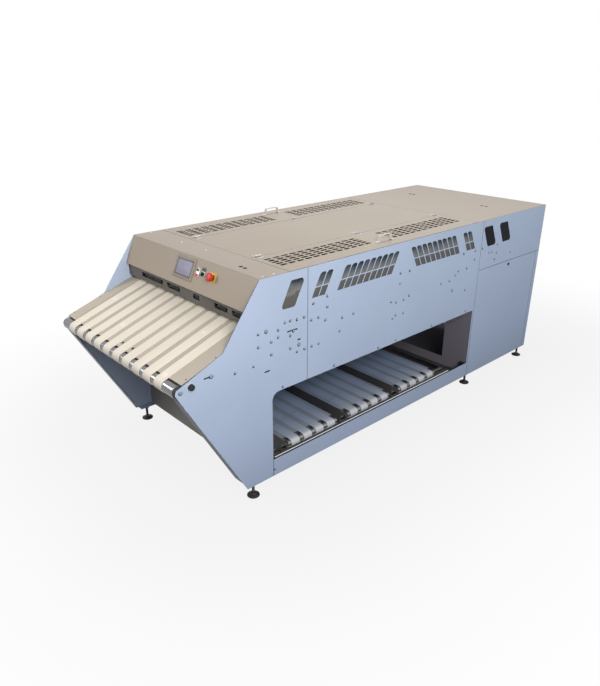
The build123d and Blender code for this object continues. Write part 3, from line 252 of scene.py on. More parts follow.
def mottled(name, dark, light, patch, roughness, grain=0.0016, depth=0.0003, metallic=0.0, shine=0.25):
    """A finish that drifts between two shades over patches of that size, with a fine grain of that depth."""
    finish, tree, shader = new_finish(name)
    where = here(tree)
    clouds = wired(tree, "TexNoise", {"Vector": where, "Scale": 1 / patch, "Detail": 4})
    pits = wired(tree, "TexNoise", {"Vector": where, "Scale": 1 / grain, "Detail": 2})
    polish = {"Value": clouds, "To Min": roughness * 0.88, "To Max": roughness * 1.12}
    fed(tree, shader, {
        "Metallic": metallic, "Specular IOR Level": shine, "Roughness": wired(tree, "MapRange", polish),
        "Base Color": ramp(tree, clouds, ((0.36, dark), (0.64, light))),
        "Normal": wired(tree, "Bump", {"Height": pits, "Strength": 0.35, "Distance": depth}),
    })
    return finish


foot_spots = [(x, y, 0) for x in (-0.710, 0.710) for y in (-1.472, 1.055, 1.993)]
pad_black = mottled("pad_black", (0.016, 0.016, 0.018), (0.030, 0.030, 0.032), 0.03, 0.55, 0.0012, 0.0004)
pad_outline = (
    (0, 0), (0.0425, 0), (0.044, 0.0015), (0.044, 0.006), (0.0425, 0.0085), (0.036, 0.0115),
    (0.026, 0.0150), (0.020, 0.0190), (0.0185, 0.0225), (0.017, 0.024), (0, 0.024),
)
pads = fitted(repeated(turned(pad_outline, 40), foot_spots), "levelling_pads", pad_black)
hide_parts("foot_pads")

stem_radius, stem_foot, stem_top = 0.010, 0.024, 0.105
thread_pitch, thread_start, thread_spare, thread_root_share = 0.003, 0.005, 0.006, 0.88
thread_turns = int((stem_top - stem_foot - thread_spare) / thread_pitch)
stem_outline = [(0, stem_foot), (stem_radius, stem_foot), (stem_radius, stem_foot + 0.004)]
for turn in range(thread_turns):
    start = stem_foot + thread_start + turn * thread_pitch
    stem_outline += [(stem_radius * thread_root_share, start), (stem_radius, start + thread_pitch / 2)]
stem_outline += [(stem_radius, stem_top), (0, stem_top)]
nut_radius, nut_height, nut_drop = 0.0185, 0.012, 0.0065
lock_nut = bmesh.new()
bmesh.ops.create_cone(
    lock_nut, cap_ends=True, segments=6, radius1=nut_radius, radius2=nut_radius, depth=nut_height,
    matrix=Matrix.Translation((0, 0, stem_top - nut_drop)),
)
eased(lock_nut, list(lock_nut.edges), 0.0012, 2)
black_steel = mottled(
    "blackened_steel", (0.020, 0.020, 0.022), (0.045, 0.045, 0.048), 0.01, 0.42, 0.0008, 0.0003, metallic=0.6
)
stems = fitted(
    repeated(joined(turned(stem_outline, 20), lock_nut), foot_spots),
    "levelling_stems", black_steel,
)
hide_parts("foot_stems")

# Welded frame: square steel tube posts and beams under the panels, with two folded base rails along the sides.
# Tubes and rails are powder coated, the rails in the blue grey of the sides and the tubes in a darker grey.


def graded(finish, axis, start, end, stops, steps="LINEAR"):
    """The finish toned along an axis from start to end, by the shades at those shares of the way."""
    tree = finish.node_tree
    shader = tree.nodes["Principled BSDF"]
    along = wired(tree, "SeparateXYZ", {"Vector": here(tree)}).outputs[axis]
    way = wired(tree, "MapRange", {"Value": along, "From Min": start, "From Max": end})
    plain = shader.inputs["Base Color"].links[0].from_socket
    toned = wired(
        tree, "Mix", {"Factor": 1, 6: plain, 7: ramp(tree, way, stops, steps)},
        data_type="RGBA", blend_type="MULTIPLY",
    )
    fed(tree, shader, {"Base Color": toned.outputs[2]})


def dressed(finish, *names):
    """Solids of the frame model that keep their shape and get this finish."""
    for name in names:
        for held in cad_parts[name].material_slots:
            held.material = finish


side_light, side_dark = (0.500, 0.590, 0.755), (0.474, 0.560, 0.717)
side_foot, side_top, side_face, skin_share = 0.10, 1.54, 0.750, 0.003
# Painted shade: the coat of the sides darkens towards the floor.
side_painted_shade = (
    (0, (0.66, 0.66, 0.69)), (0.30, (0.80, 0.81, 0.84)), (0.65, (0.93, 0.93, 0.94)), (1, (1, 1, 1)),
)
outside, flange_painted_shade, rail_painted_shade = (1, 1, 1), (0.30, 0.28, 0.27), (0.07, 0.07, 0.07)


def side_paint(name, patch, roughness, inner_share, inner_tone):
    """The blue grey coat of the sides, darker towards the floor as painted shade, with another tone inside the
    skin.
    """
    finish = mottled(name, side_dark, side_light, patch, roughness, shine=0.10)
    graded(finish, "Z", side_foot, side_top, side_painted_shade)
    graded(
        finish, "X", -side_face, side_face,
        ((0, outside), (inner_share, inner_tone), (1 - skin_share, outside)), "CONSTANT",
    )
    return finish


# Painted shade: inside the outer skin the plates and their folded flanges are darkened, and on the rails the
# faces between the middle of the machine and the right outer skin are painted near black.
side_coat = side_paint("side_coat", 0.7, 0.42, skin_share, flange_painted_shade)
rail_coat = side_paint("rail_coat", 0.7, 0.42, 0.5, rail_painted_shade)
tube_coat = mottled("tube_coat", (0.040, 0.040, 0.042), (0.060, 0.059, 0.060), 0.5, 0.50)
dressed(rail_coat, "right_base_rail", "left_base_rail")
dressed(tube_coat, "frame_posts", "frame_beams")

# Side plates and panels: laser cut sheet steel, powder coated pale blue grey and screwed to the frame.
# The front plates carry the feed rollers and are folded back along the leg and the nose.
dressed(
    side_coat, "right_front_plate", "left_front_plate", "right_middle_panel", "left_middle_panel",
    "right_rear_panel", "left_rear_panel",
)

# Panel fixings: button head screws with a hexagon socket through the side plates into the shafts, tie bars and
# frame behind them. Both sides carry the same rows, and under each head a black washer hangs a little low as
# the painted shadow of the head.
button_head = (
    (0.0078, 0), (0.0076, 0.0018), (0.0060, 0.0036), (0.0034, 0.0044), (0.0034, 0.0022), (0, 0.0020),
)
shaft_head = (
    (0.0125, 0), (0.0125, 0.0020), (0.0105, 0.0034), (0.0062, 0.0040), (0.0060, 0.0018), (0, 0.0016),
)
washer = ((0.0040, 0.0002), (0.0106, 0.0002), (0.0106, 0.0010), (0.0102, 0.0014), (0.0040, 0.0014))
wide_washer = ((0.0080, 0.0002), (0.0150, 0.0002), (0.0150, 0.0010), (0.0146, 0.0014), (0.0080, 0.0014))
shadow_hang = Vector((0, -0.0016, -0.0022))
button_spots = (
    (-1.611, 0.992), (-1.468, 0.992), (-1.426, 1.195), (-1.265, 1.180), (-1.266, 1.132), (-1.322, 1.115),
    (-1.427, 1.109), (-1.325, 1.029), (-1.208, 1.216), (-1.163, 1.216), (-1.105, 1.211), (-1.042, 1.212),
    (-1.136, 1.138), (-1.162, 1.113), (-1.163, 1.025), (-1.104, 0.984), (-1.038, 0.984), (-0.978, 1.174),
    (-0.912, 1.176), (-0.846, 1.140), (-0.682, 1.115), (-0.570, 1.116), (-0.706, 1.021), (-0.972, 0.984),
    (-0.907, 0.985), (-0.961, 1.285), (-0.833, 1.306), (-0.831, 1.230), (-0.069, 1.306), (-0.066, 1.228),
    (0.040, 1.303), (-0.158, 1.103), (-0.098, 1.086), (-0.009, 1.087), (0.056, 1.104), (-0.128, 0.964),
    (-0.094, 0.981), (-0.001, 0.977), (0.469, 1.108), (0.579, 1.107), (0.659, 1.140), (0.697, 1.168),
    (0.825, 0.976), (0.820, 1.168), (0.752, 1.305), (0.921, 1.225), (0.922, 1.300), (1.028, 1.300),
    (1.145, 1.244), (1.190, 1.245), (1.268, 1.221), (1.266, 1.300), (1.508, 1.186), (1.247, 1.167),
    (-1.229, 0.769), (-0.749, 0.769), (-0.276, 0.769), (-0.069, 0.769), (0.386, 0.769), (0.878, 0.769),
    (-1.306, 0.158),
)
shaft_spots = ((-1.997, 0.993), (-1.362, 1.197), (-1.087, 1.031), (0.636, 1.015), (-1.783, 1.028))
side_zinc = mottled(
    "side_zinc", (0.26, 0.30, 0.38), (0.34, 0.38, 0.47), 0.01, 0.34, 0.0006, 0.0002, metallic=0.60
)


def on_side(side, outline, steps, spots, hang=Vector()):
    """One turned form at each spot of a side plate."""
    return repeated(
        turned(outline, steps, (side * side_face, 0, 0), (side, 0, 0)),
        [Vector((0, y, z)) + hang for y, z in spots],
    )


for side, hand in ((1, "right"), (-1, "left")):
    heads = joined(on_side(side, button_head, 10, button_spots), on_side(side, shaft_head, 18, shaft_spots))
    fitted(heads, hand + "_side_screws", side_zinc)
    washers = joined(
        on_side(side, washer, 14, button_spots, shadow_hang),
        on_side(side, wide_washer, 18, shaft_spots, shadow_hang),
    )
    fitted(washers, hand + "_side_shadow_washers", black_steel)

# Window panes: flat sheets of smoked polycarbonate clipped behind the windows and the slanted vents.
# They are polished on both sides. The room they mirror is a painted reflection in bands by height,
# and the rear ones are painted near black as painted shade of the dark cabinet behind them.
pane_low, pane_high, pane_sway, cabinet_front = 1.300, 1.475, 0.04, 0.98
smoked_sheet, sheet_tree, sheet_shader = new_finish("smoked_sheet")
sheet_where = here(sheet_tree)
sheet_axes = wired(sheet_tree, "SeparateXYZ", {"Vector": sheet_where}).outputs
sheet_waves = wired(sheet_tree, "TexNoise", {"Vector": sheet_where, "Scale": 15, "Detail": 3})
sheet_sway = wired(sheet_tree, "MapRange", {"Value": sheet_waves, "To Min": -pane_sway, "To Max": pane_sway})
sheet_level = wired(sheet_tree, "Math", {0: sheet_axes["Z"], 1: sheet_sway}, operation="ADD")
sheet_height = wired(
    sheet_tree, "MapRange", {"Value": sheet_level, "From Min": pane_low, "From Max": pane_high}
)
# Painted reflection: darker and lighter bands by height stand in for the room mirrored in the panes.
painted_reflection_bands = ramp(sheet_tree, sheet_height, (
    (0, (0.125, 0.119, 0.110)), (0.46, (0.135, 0.130, 0.121)), (0.56, (0.230, 0.228, 0.214)),
    (0.80, (0.120, 0.130, 0.142)), (1, (0.026, 0.036, 0.050)),
))
# Painted shade: the panes behind the cabinet front are painted near black.
rear_pane_shade_mask = wired(sheet_tree, "Math", {0: sheet_axes["Y"], 1: cabinet_front}, operation="GREATER_THAN")
sheet_mix = wired(
    sheet_tree, "Mix", {"Factor": rear_pane_shade_mask, 6: painted_reflection_bands, 7: (0.004, 0.006, 0.011, 1)},
    data_type="RGBA",
)
fed(sheet_tree, sheet_shader, {
    "Roughness": 0.16, "Specular IOR Level": 0.04, "Base Color": sheet_mix.outputs[2],
})
dressed(smoked_sheet, "window_panes")

# Bay walls: the folded cover below the feed table, the wall of the rear cabinet and the closed left wall.
# The cover is coated in a darker tone of the roof's warm grey, as painted shade under the feed table. The walls
# have the blue grey of the sides outside, darker towards the floor as painted shade, and inside they are a
# darker, warmer tone.
# Painted shade: the lower cover is darker than the roof for the shade under the feed table.
lower_cover_shaded_coat = mottled("lower_cover_shaded_coat", (0.250, 0.228, 0.208), (0.290, 0.266, 0.244), 0.5, 0.52)
dressed(lower_cover_shaded_coat, "front_lower_cover")
cabinet_coat = side_paint("cabinet_coat", 0.5, 0.50, skin_share, (0.47, 0.375, 0.33))
dressed(cabinet_coat, "cabinet_wall", "left_bay_panel")

# Feed bed: a folded steel tray between the front plates, with plain strips along both sides of the belts.
# It is powder coated in the warm grey of the covers and held by countersunk screws along the strips.
bed_coat = mottled("bed_coat", (0.455, 0.398, 0.328), (0.490, 0.431, 0.358), 0.5, 0.45)
dressed(bed_coat, "infeed_bed")

feed_angle = math.radians(19.25)
feed_along = Vector((0, math.cos(feed_angle), math.sin(feed_angle)))
feed_up = Vector((0, -math.sin(feed_angle), math.cos(feed_angle)))
nose_axis = Vector((0, -2.004, 0.990))
drive_axis = Vector((0, -1.3998, 1.2010))

bed_face, strip_face = 0.0397, 0.0430
flat_head = ((0.0048, 0), (0.0046, 0.0005), (0.0020, 0.0006), (0.0016, 0.0002), (0, 0.0002))
strip_screws = repeated(
    turned(flat_head, 12, nose_axis + feed_up * strip_face, feed_up),
    [Vector((x, 0, 0)) + feed_along * reach for x in (-0.733, 0.733) for reach in (0.077, 0.300, 0.520)],
)
fitted(strip_screws, "feed_bed_screws", black_steel)
eye_disc = ((0.0105, 0), (0.0105, 0.0010), (0.0095, 0.0014), (0.0060, 0.0014), (0.0050, 0.0008), (0, 0.0008))
eye_lanes, eye_reach = (0, 0.128), 0.071
bed_eyes = repeated(
    turned(eye_disc, 24, nose_axis + feed_up * bed_face, feed_up),
    [Vector((x, 0, 0)) + feed_along * eye_reach for x in eye_lanes],
)
fitted(bed_eyes, "feed_bed_eyes", pad_black)

# Feed and transport rollers: ground steel tubes, hard chromed, on turned stub axles in the bearing blocks.
# The nose roller shows between the belts, and fine turning marks run round all four.
chrome, chrome_tree, chrome_shader = new_finish("hard_chrome")
chrome_rings = wired(chrome_tree, "Mapping", {"Vector": here(chrome_tree), "Scale": (700, 12, 12)})
chrome_marks = wired(chrome_tree, "TexNoise", {"Vector": chrome_rings, "Scale": 1, "Detail": 3})
fed(chrome_tree, chrome_shader, {
    "Metallic": 0.60,
    "Base Color": ramp(chrome_tree, chrome_marks, ((0, (0.15, 0.15, 0.155)), (1, (0.26, 0.26, 0.265)))),
    "Roughness": wired(chrome_tree, "MapRange", {"Value": chrome_marks, "To Min": 0.16, "To Max": 0.30}),
    "Normal": wired(chrome_tree, "Bump", {"Height": chrome_marks, "Strength": 0.15, "Distance": 0.0002}),
})

roller_skin, roller_half, stub_radius, stub_half, roller_edge = 0.0395, 0.724, 0.012, 0.7415, 0.003
half_roller = (
    (0, -stub_half), (stub_radius * 0.85, -stub_half), (stub_radius, -stub_half + 0.0015),
    (stub_radius, -roller_half), (roller_skin * 0.78, -roller_half), (roller_skin * 0.80, -roller_half + 0.002),
    (roller_skin * 0.90, -roller_half + 0.002), (roller_skin * 0.92, -roller_half),
    (roller_skin - roller_edge, -roller_half), (roller_skin, -roller_half + roller_edge),
)
long_roller = half_roller + tuple((r, -d) for r, d in reversed(half_roller))
transport_front, transport_rear = Vector((0, -1.2898, 1.150)), Vector((0, 0.5602, 1.150))
for name, axis in (
    ("nose_roller", nose_axis), ("infeed_drive_roller", drive_axis),
    ("transport_front_roller", transport_front), ("transport_rear_roller", transport_rear),
):
    roller = fitted(
        turned(long_roller, 56, axis, (1, 0, 0)), name + "_turned", chrome, name
    )
    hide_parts(name)

# Feed belts: ten endless belts of cream coated fabric round the nose and drive rollers, side by side.
# Each is cut from flat stock and welded endless, and on some a pale patch covers the joint.


def edges_of(geometry):
    return [part for part in geometry if isinstance(part, bmesh.types.BMEdge)]


def endless_belt(front, rear, across, width, inner, outer):
    """A belt section swept round the front roller, along below, round the rear roller and back on top."""
    bm = bmesh.new()
    run = rear - front
    up = across.cross(run).normalized()
    corners = [
        bm.verts.new(front + up * r + across * s * width / 2)
        for r, s in ((inner, -1), (outer, -1), (outer, 1), (inner, 1))
    ]
    rim = [bm.edges.new(pair) for pair in zip(corners, corners[1:] + corners[:1])]
    over_front = bmesh.ops.spin(bm, geom=corners + rim, cent=front, axis=across, angle=math.pi, steps=18)
    below = bmesh.ops.extrude_edge_only(bm, edges=edges_of(over_front["geom_last"]))
    far = verts_of(below["geom"])
    bmesh.ops.translate(bm, verts=far, vec=run)
    far_rim = [edge for edge in edges_of(below["geom"]) if all(end in far for end in edge.verts)]
    over_rear = bmesh.ops.spin(bm, geom=far + far_rim, cent=rear, axis=across, angle=math.pi, steps=18)
    bmesh.ops.bridge_loops(bm, edges=edges_of(over_rear["geom_last"]) + rim)
    bmesh.ops.remove_doubles(bm, verts=bm.verts, dist=1e-6)
    bmesh.ops.recalc_face_normals(bm, faces=bm.faces)
    corner_edges = [edge for edge in bm.edges if edge.calc_face_angle(0) > 1]
    return eased(bm, corner_edges, 0.0006, 2)


def coated_fabric(name, dark, light, stretch, roughness):
    """Smooth belt coating with a faint weave under it and streaks along the way it runs."""
    finish, tree, shader = new_finish(name)
    where = here(tree)
    longways = wired(tree, "Mapping", {"Vector": where, "Scale": stretch})
    streaks = wired(tree, "TexNoise", {"Vector": longways, "Scale": 1, "Detail": 5})
    weave = wired(tree, "TexBrick", {
        "Vector": where, "Scale": 260, "Mortar Size": 0.12, "Color1": (1, 1, 1, 1),
        "Color2": (0.75, 0.75, 0.75, 1), "Mortar": (0, 0, 0, 1),
    })
    fed(tree, shader, {
        "Roughness": roughness, "Specular IOR Level": 0.25,
        "Base Color": ramp(tree, streaks, ((0.32, dark), (0.68, light))),
        "Normal": wired(tree, "Bump", {"Height": weave, "Strength": 0.18, "Distance": 0.0002}),
    })
    return finish


def splice(middle, along, across, up, length, width, skew):
    """The thin oblique strip of a belt joint, lying on the belt."""
    bm = bmesh.new()
    bmesh.ops.create_cube(bm, size=1)
    bmesh.ops.scale(bm, vec=(length, width, 0.0004), verts=bm.verts)
    bmesh.ops.rotate(bm, matrix=Matrix.Rotation(skew, 3, "Z"), verts=bm.verts)
    eased(bm, list(bm.edges), 0.00015, 1)
    lay = Matrix((along, across, up)).transposed().to_4x4()
    bmesh.ops.transform(bm, matrix=Matrix.Translation(middle) @ lay, verts=bm.verts)
    return bm


feed_belt_inner, feed_belt_outer = 0.040, 0.043
feed_belt_width, feed_belt_pitch, feed_belt_count = 0.084, 0.128, 10
feed_lanes = [(lane - (feed_belt_count - 1) / 2) * feed_belt_pitch for lane in range(feed_belt_count)]
belt_cream = coated_fabric("belt_cream", (0.720, 0.655, 0.556), (0.770, 0.702, 0.602), (14, 1.4, 1.4), 0.50)
feed_belt = endless_belt(
    nose_axis, drive_axis, Vector((1, 0, 0)), feed_belt_width, feed_belt_inner, feed_belt_outer
)
feed_belts = fitted(
    repeated(feed_belt, [(x, 0, 0) for x in feed_lanes]), "feed_belts", belt_cream, crease=20
)
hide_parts("infeed_belts")
belt_patch = mottled("belt_patch", (0.79, 0.74, 0.66), (0.82, 0.77, 0.69), 0.01, 0.45, 0.0008, 0.0002)
feed_joints = ((0, 0.340), (3, 0.182), (8, 0.418), (9, 0.034))
patch_length, patch_width, patch_lift, patch_skew = 0.030, 0.040, 0.0001, 0.10
feed_splices = [
    splice(
        Vector((feed_lanes[lane], 0, 0)) + nose_axis + feed_along * reach
        + feed_up * (feed_belt_outer + patch_lift),
        feed_along, Vector((-1, 0, 0)), feed_up, patch_length, patch_width, patch_skew,
    )
    for lane, reach in feed_joints
]
fitted(joined(*feed_splices), "feed_belt_joints", belt_patch)

# Bearing blocks, fold knife, blow pipes and the feed gearmotor sit between the plates under the roof.
# The blocks are cast iron, the knife and pipes bright steel, and the motor is painted grey blue.
cast_iron = mottled("cast_iron", (0.075, 0.075, 0.080), (0.120, 0.120, 0.125), 0.04, 0.60, 0.0030, 0.0010)
bright_steel = mottled(
    "bright_steel", (0.48, 0.48, 0.49), (0.58, 0.58, 0.59), 0.05, 0.28, 0.0010, 0.0002, metallic=1.0
)
motor_coat = mottled("motor_coat", (0.090, 0.115, 0.150), (0.120, 0.145, 0.180), 0.08, 0.45, 0.0020, 0.0005)
dressed(cast_iron, "roller_bearings")
dressed(bright_steel, "fold_knife", "blow_pipes")
dressed(motor_coat, "infeed_gearmotor", "stacker_gearmotors")

# Transport belt: one wide endless belt behind the feed table, of dark grey coated fabric.
# It runs round its own two rollers and carries the linen to the fold knife.
belt_dark = coated_fabric("belt_dark", (0.040, 0.042, 0.045), (0.060, 0.062, 0.066), (14, 1.4, 1.4), 0.55)
transport_width = 1.280
transport_belt = fitted(
    endless_belt(
        transport_front, transport_rear, Vector((1, 0, 0)), transport_width, feed_belt_inner, feed_belt_outer
    ),
    "transport_belt_loop", belt_dark, crease=20,
)
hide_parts("transport_belt")

# Stackers: three folded steel beds across the low bay, each with four belts round a small roller at each end.
# They carry the folded stacks out on the open side. The top sheets are pale and the cheeks are darkened as
# painted shade. Beds and belts grow darker and bluer deeper in the bay, also painted shade.
stacker_coat = mottled("stacker_coat", (0.430, 0.420, 0.400), (0.470, 0.460, 0.440), 0.4, 0.50)
bay_inner, bay_mouth = -0.10, 0.68
# Painted shade: beds and belts are darker and bluer deeper in the bay.
bay_shade = (
    (0, (0.30, 0.40, 0.58)), (0.70, (0.42, 0.51, 0.68)), (0.90, (0.60, 0.67, 0.78)), (1, (1, 1, 1)),
)
graded(stacker_coat, "X", bay_inner, bay_mouth, bay_shade)
# Painted shade: the cheeks below the top sheet are darkened.
cheek_low, cheek_high, top_sheet_share, cheek_painted_shade = 0.2, 0.3, 0.582, (0.26, 0.23, 0.21)
graded(
    stacker_coat, "Z", cheek_low, cheek_high, ((0, cheek_painted_shade), (top_sheet_share, (1, 1, 1))), "CONSTANT"
)
dressed(stacker_coat, "stacker_beds")
stacker_lines = (-0.873, -0.259, 0.355)
stacker_level, stacker_reach = 0.2316, 0.6536
stacker_skin, stacker_half, stacker_stub = 0.0270, 0.245, 0.254
half_stacker_roller = (
    (0, -stacker_stub), (0.007, -stacker_stub), (0.008, -stacker_stub + 0.001), (0.008, -stacker_half),
    (stacker_skin - 0.002, -stacker_half), (stacker_skin, -stacker_half + 0.002),
)
stacker_roller = half_stacker_roller + tuple((r, -d) for r, d in reversed(half_stacker_roller))
for count, line in enumerate(stacker_lines, 1):
    for end, reach in (("outer", stacker_reach), ("inner", -stacker_reach)):
        name = "stacker_%d_%s_roller" % (count, end)
        roller = fitted(
            turned(stacker_roller, 36, (reach, line, stacker_level), (0, 1, 0)),
            name + "_turned", chrome, name,
        )
        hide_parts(name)
belt_grey = coated_fabric("belt_grey", (0.530, 0.542, 0.580), (0.588, 0.600, 0.640), (1.2, 14, 1.2), 0.50)
graded(belt_grey, "X", bay_inner, bay_mouth, bay_shade)
stacker_belt_inner, stacker_belt_outer, stacker_belt_width = 0.0274, 0.0304, 0.076
stacker_belt_pitch = 0.120
stacker_lanes = [
    line + lane * stacker_belt_pitch for line in stacker_lines for lane in (-1.5, -0.5, 0.5, 1.5)
]
stacker_belt = endless_belt(
    Vector((-stacker_reach, 0, stacker_level)), Vector((stacker_reach, 0, stacker_level)),
    Vector((0, -1, 0)), stacker_belt_width, stacker_belt_inner, stacker_belt_outer,
)
stacker_belts = fitted(
    repeated(stacker_belt, [(0, y, 0) for y in stacker_lanes]),
    "stacker_belt_loops", belt_grey, crease=20,
)
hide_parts("stacker_belts")
joint_dark = mottled("joint_dark", (0.050, 0.052, 0.060), (0.080, 0.082, 0.090), 0.01, 0.55, 0.0008, 0.0002)
joint_length, joint_width_share, joint_skew = 0.0022, 0.98, 0.12
joint_places = (0.43, 0.41, 0.39, -0.20, 0.44, 0.40, 0.10, -0.35, 0.38, -0.10, 0.42, 0.25)
stacker_splices = [
    splice(
        Vector((reach, lane, stacker_level + stacker_belt_outer + patch_lift)),
        Vector((1, 0, 0)), Vector((0, 1, 0)), Vector((0, 0, 1)),
        joint_length, stacker_belt_width * joint_width_share, joint_skew,
    )
    for lane, reach in zip(stacker_lanes, joint_places)
]
fitted(joined(*stacker_splices), "stacker_belt_splices", joint_dark)

# Fascia and sensor beam: the sloping control panel is folded from sheet steel, and the channel under it
# holds the photocells that see the linen come in. Both are screwed between the front plates.
# The fascia is a darker tone of the roof's warm grey as painted shade, and the channel's own warm grey is
# darkened further as painted shade under the fascia.
beam_shaded_coat = mottled("beam_shaded_coat", (0.108, 0.099, 0.090), (0.136, 0.125, 0.114), 0.3, 0.50)
fascia_shaded_coat = mottled("fascia_shaded_coat", (0.342, 0.280, 0.224), (0.363, 0.299, 0.240), 0.8, 0.42)
dressed(fascia_shaded_coat, "fascia_panel")
dressed(beam_shaded_coat, "sensor_beam")
cell_black = mottled("cell_black", (0.012, 0.012, 0.013), (0.022, 0.022, 0.024), 0.02, 0.35, 0.0010, 0.0002)
beam_face, beam_foot = -1.4749, 1.2463
cell_depth, cell_height, cell_set_in, cell_up = 0.016, 0.020, 0.014, 0.046
eye_spread = 0.012
eye_outline = ((0.0068, 0), (0.0068, 0.0024), (0.0058, 0.0032), (0.0040, 0.0036), (0, 0.0042))
cell_bodies = []
for cell_x, cell_width in ((-0.403, 0.230), (-0.119, 0.110), (0.160, 0.050), (0.438, 0.092), (0.610, 0.076)):
    body = bmesh.new()
    bmesh.ops.create_cube(body, size=1)
    bmesh.ops.scale(body, vec=(cell_width, cell_depth, cell_height), verts=body.verts)
    eased(body, list(body.edges), 0.002, 2)
    eyes = [
        turned(eye_outline, 20, (shift, -cell_depth / 2, 0), (0, -1, 0)) for shift in (-eye_spread, eye_spread)
    ]
    cell = joined(body, *eyes)
    bmesh.ops.translate(cell, verts=cell.verts, vec=(cell_x, beam_face + cell_set_in, beam_foot + cell_up))
    cell_bodies.append(cell)
fitted(joined(*cell_bodies), "photocells", cell_black)

# Touch panel: a moulded grey bezel with rounded corners, screwed to the fascia over the screen behind it.
# A darker rim frames the glass, which shows plain lilac fields with paler lines between them.
control_foot = Vector((0, -1.4436, 1.4548))
slope_up, slope_out = Vector((0, 0.40674, 0.91355)), Vector((0, -0.91355, 0.40674))
on_fascia = Matrix.Translation(control_foot) @ Matrix(
    (Vector((1, 0, 0)), slope_up, slope_out)
).transposed().to_4x4()


def slab(width, height, low, high, corner, softness, segments=6):
    """A flat block with rounded corners and a softened front edge, lying on its back at the origin."""
    bm = bmesh.new()
    bmesh.ops.create_cube(bm, size=1)
    bmesh.ops.scale(bm, vec=(width, height, high - low), verts=bm.verts)
    bmesh.ops.translate(bm, vec=(0, 0, (low + high) / 2), verts=bm.verts)
    uprights = [edge for edge in bm.edges if abs(edge.verts[0].co.z - edge.verts[1].co.z) > 1e-6]
    eased(bm, uprights, corner, segments)
    front = [edge for edge in bm.edges if all(end.co.z > high - 1e-6 for end in edge.verts)]
    return eased(bm, front, softness, 3)


def put(bm, matrix):
    bmesh.ops.transform(bm, matrix=matrix, verts=bm.verts)
    return bm


def hollowed(bm, level, rim, drop):
    """Sinks the front face of a block by drop inside a rim."""
    front = [face for face in bm.faces if face.normal.z > 0.9 and face.calc_center_median().z > level - 1e-6]
    front.sort(key=lambda face: face.calc_area())
    bmesh.ops.inset_region(bm, faces=front[-1:], thickness=rim, use_even_offset=True)
    bmesh.ops.inset_region(bm, faces=front[-1:], thickness=drop * 0.5, depth=-drop, use_even_offset=True)
    return bm


bezel_grey = mottled("bezel_grey", (0.264, 0.226, 0.176), (0.288, 0.248, 0.195), 0.06, 0.48, 0.0009, 0.0003)
rim_grey = mottled("rim_grey", (0.110, 0.104, 0.104), (0.132, 0.126, 0.126), 0.05, 0.42, 0.0009, 0.0002)
panel_bezel = fitted(
    put(slab(0.220, 0.155, 0, 0.008, 0.007, 0.0025), on_fascia),
    "touch_panel_bezel", bezel_grey,
)
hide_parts("touch_panel_housing")
screen_rim = hollowed(slab(0.186, 0.116, 0.0078, 0.0092, 0.004, 0.0006), 0.0092, 0.0085, 0.0010)
fitted(put(screen_rim, on_fascia), "touch_panel_rim", rim_grey)

screen_glass, glass_tree, glass_shader = new_finish("screen_glass")
glass_tilt = (math.radians(-66), 0, 0)
glass_turn = wired(glass_tree, "Mapping", {"Vector": here(glass_tree), "Rotation": glass_tilt})
glass_fields = wired(glass_tree, "TexBrick", {
    "Vector": glass_turn, "Scale": 10, "Mortar Size": 0.025, "Color1": (0.225, 0.218, 0.300, 1),
    "Color2": (0.258, 0.248, 0.326, 1), "Mortar": (0.270, 0.260, 0.330, 1),
}, offset=0.0)
fed(glass_tree, glass_shader, {
    "Roughness": 0.34, "Specular IOR Level": 0.06, "Emission Strength": 0.22,
    "Base Color": glass_fields, "Emission Color": glass_fields,
})
screen = fitted(
    put(slab(0.1695, 0.0995, 0.0076, 0.0084, 0.002, 0.0003), on_fascia),
    "touch_panel_glass", screen_glass,
)
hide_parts("touch_panel_screen")

# Switches beside the screen: a double push button in an oval bezel, a selector with its bare plate, and the
# emergency mushroom on a yellow plate. They are moulded plastic, clamped through round holes in the fascia.


def across_fascia(x, up=0.0):
    return on_fascia @ Matrix.Translation((x, up, 0))


switch_silver = mottled(
    "switch_silver", (0.60, 0.60, 0.60), (0.68, 0.68, 0.68), 0.01, 0.32, 0.0006, 0.0002, metallic=0.4
)
switch_black = mottled(
    "switch_black", (0.014, 0.014, 0.015), (0.026, 0.026, 0.028), 0.02, 0.38, 0.0008, 0.0002
)
collar_yellow = mottled(
    "collar_yellow", (0.66, 0.40, 0.030), (0.72, 0.45, 0.045), 0.02, 0.45, 0.0008, 0.0002
)
cap_green = mottled("cap_green", (0.012, 0.105, 0.050), (0.018, 0.140, 0.066), 0.01, 0.30, 0.0006, 0.0001)
cap_red = mottled("cap_red", (0.560, 0.022, 0.018), (0.640, 0.032, 0.024), 0.01, 0.32, 0.0006, 0.0001)
lamp_white = mottled("lamp_white", (0.72, 0.71, 0.68), (0.80, 0.79, 0.76), 0.01, 0.22, 0.0006, 0.0001)

double_x, selector_x, mushroom_x = 0.158, 0.219, 0.319
bezel_top, well_depth, cap_rows = 0.008, 0.0078, (0.0185, -0.0185)
well_half_width, well_half_height = 0.0113, 0.0103
double_bezel = slab(0.032, 0.066, 0, bezel_top, 0.0155, 0.002, segments=10)
well_lines = [((x, 0, 0), (1, 0, 0)) for x in (-well_half_width, well_half_width)]
for row in cap_rows:
    well_lines += [((0, row + s * well_half_height, 0), (0, 1, 0)) for s in (-1, 1)]
for place, across in well_lines:
    whole = list(double_bezel.verts) + list(double_bezel.edges) + list(double_bezel.faces)
    bmesh.ops.bisect_plane(double_bezel, geom=whole, plane_co=place, plane_no=across)
well_tops = []
for face in double_bezel.faces:
    spot = face.calc_center_median()
    in_row = any(abs(spot.y - row) < well_half_height for row in cap_rows)
    if spot.z > bezel_top - 1e-6 and abs(spot.x) < well_half_width and in_row:
        well_tops.append(face)
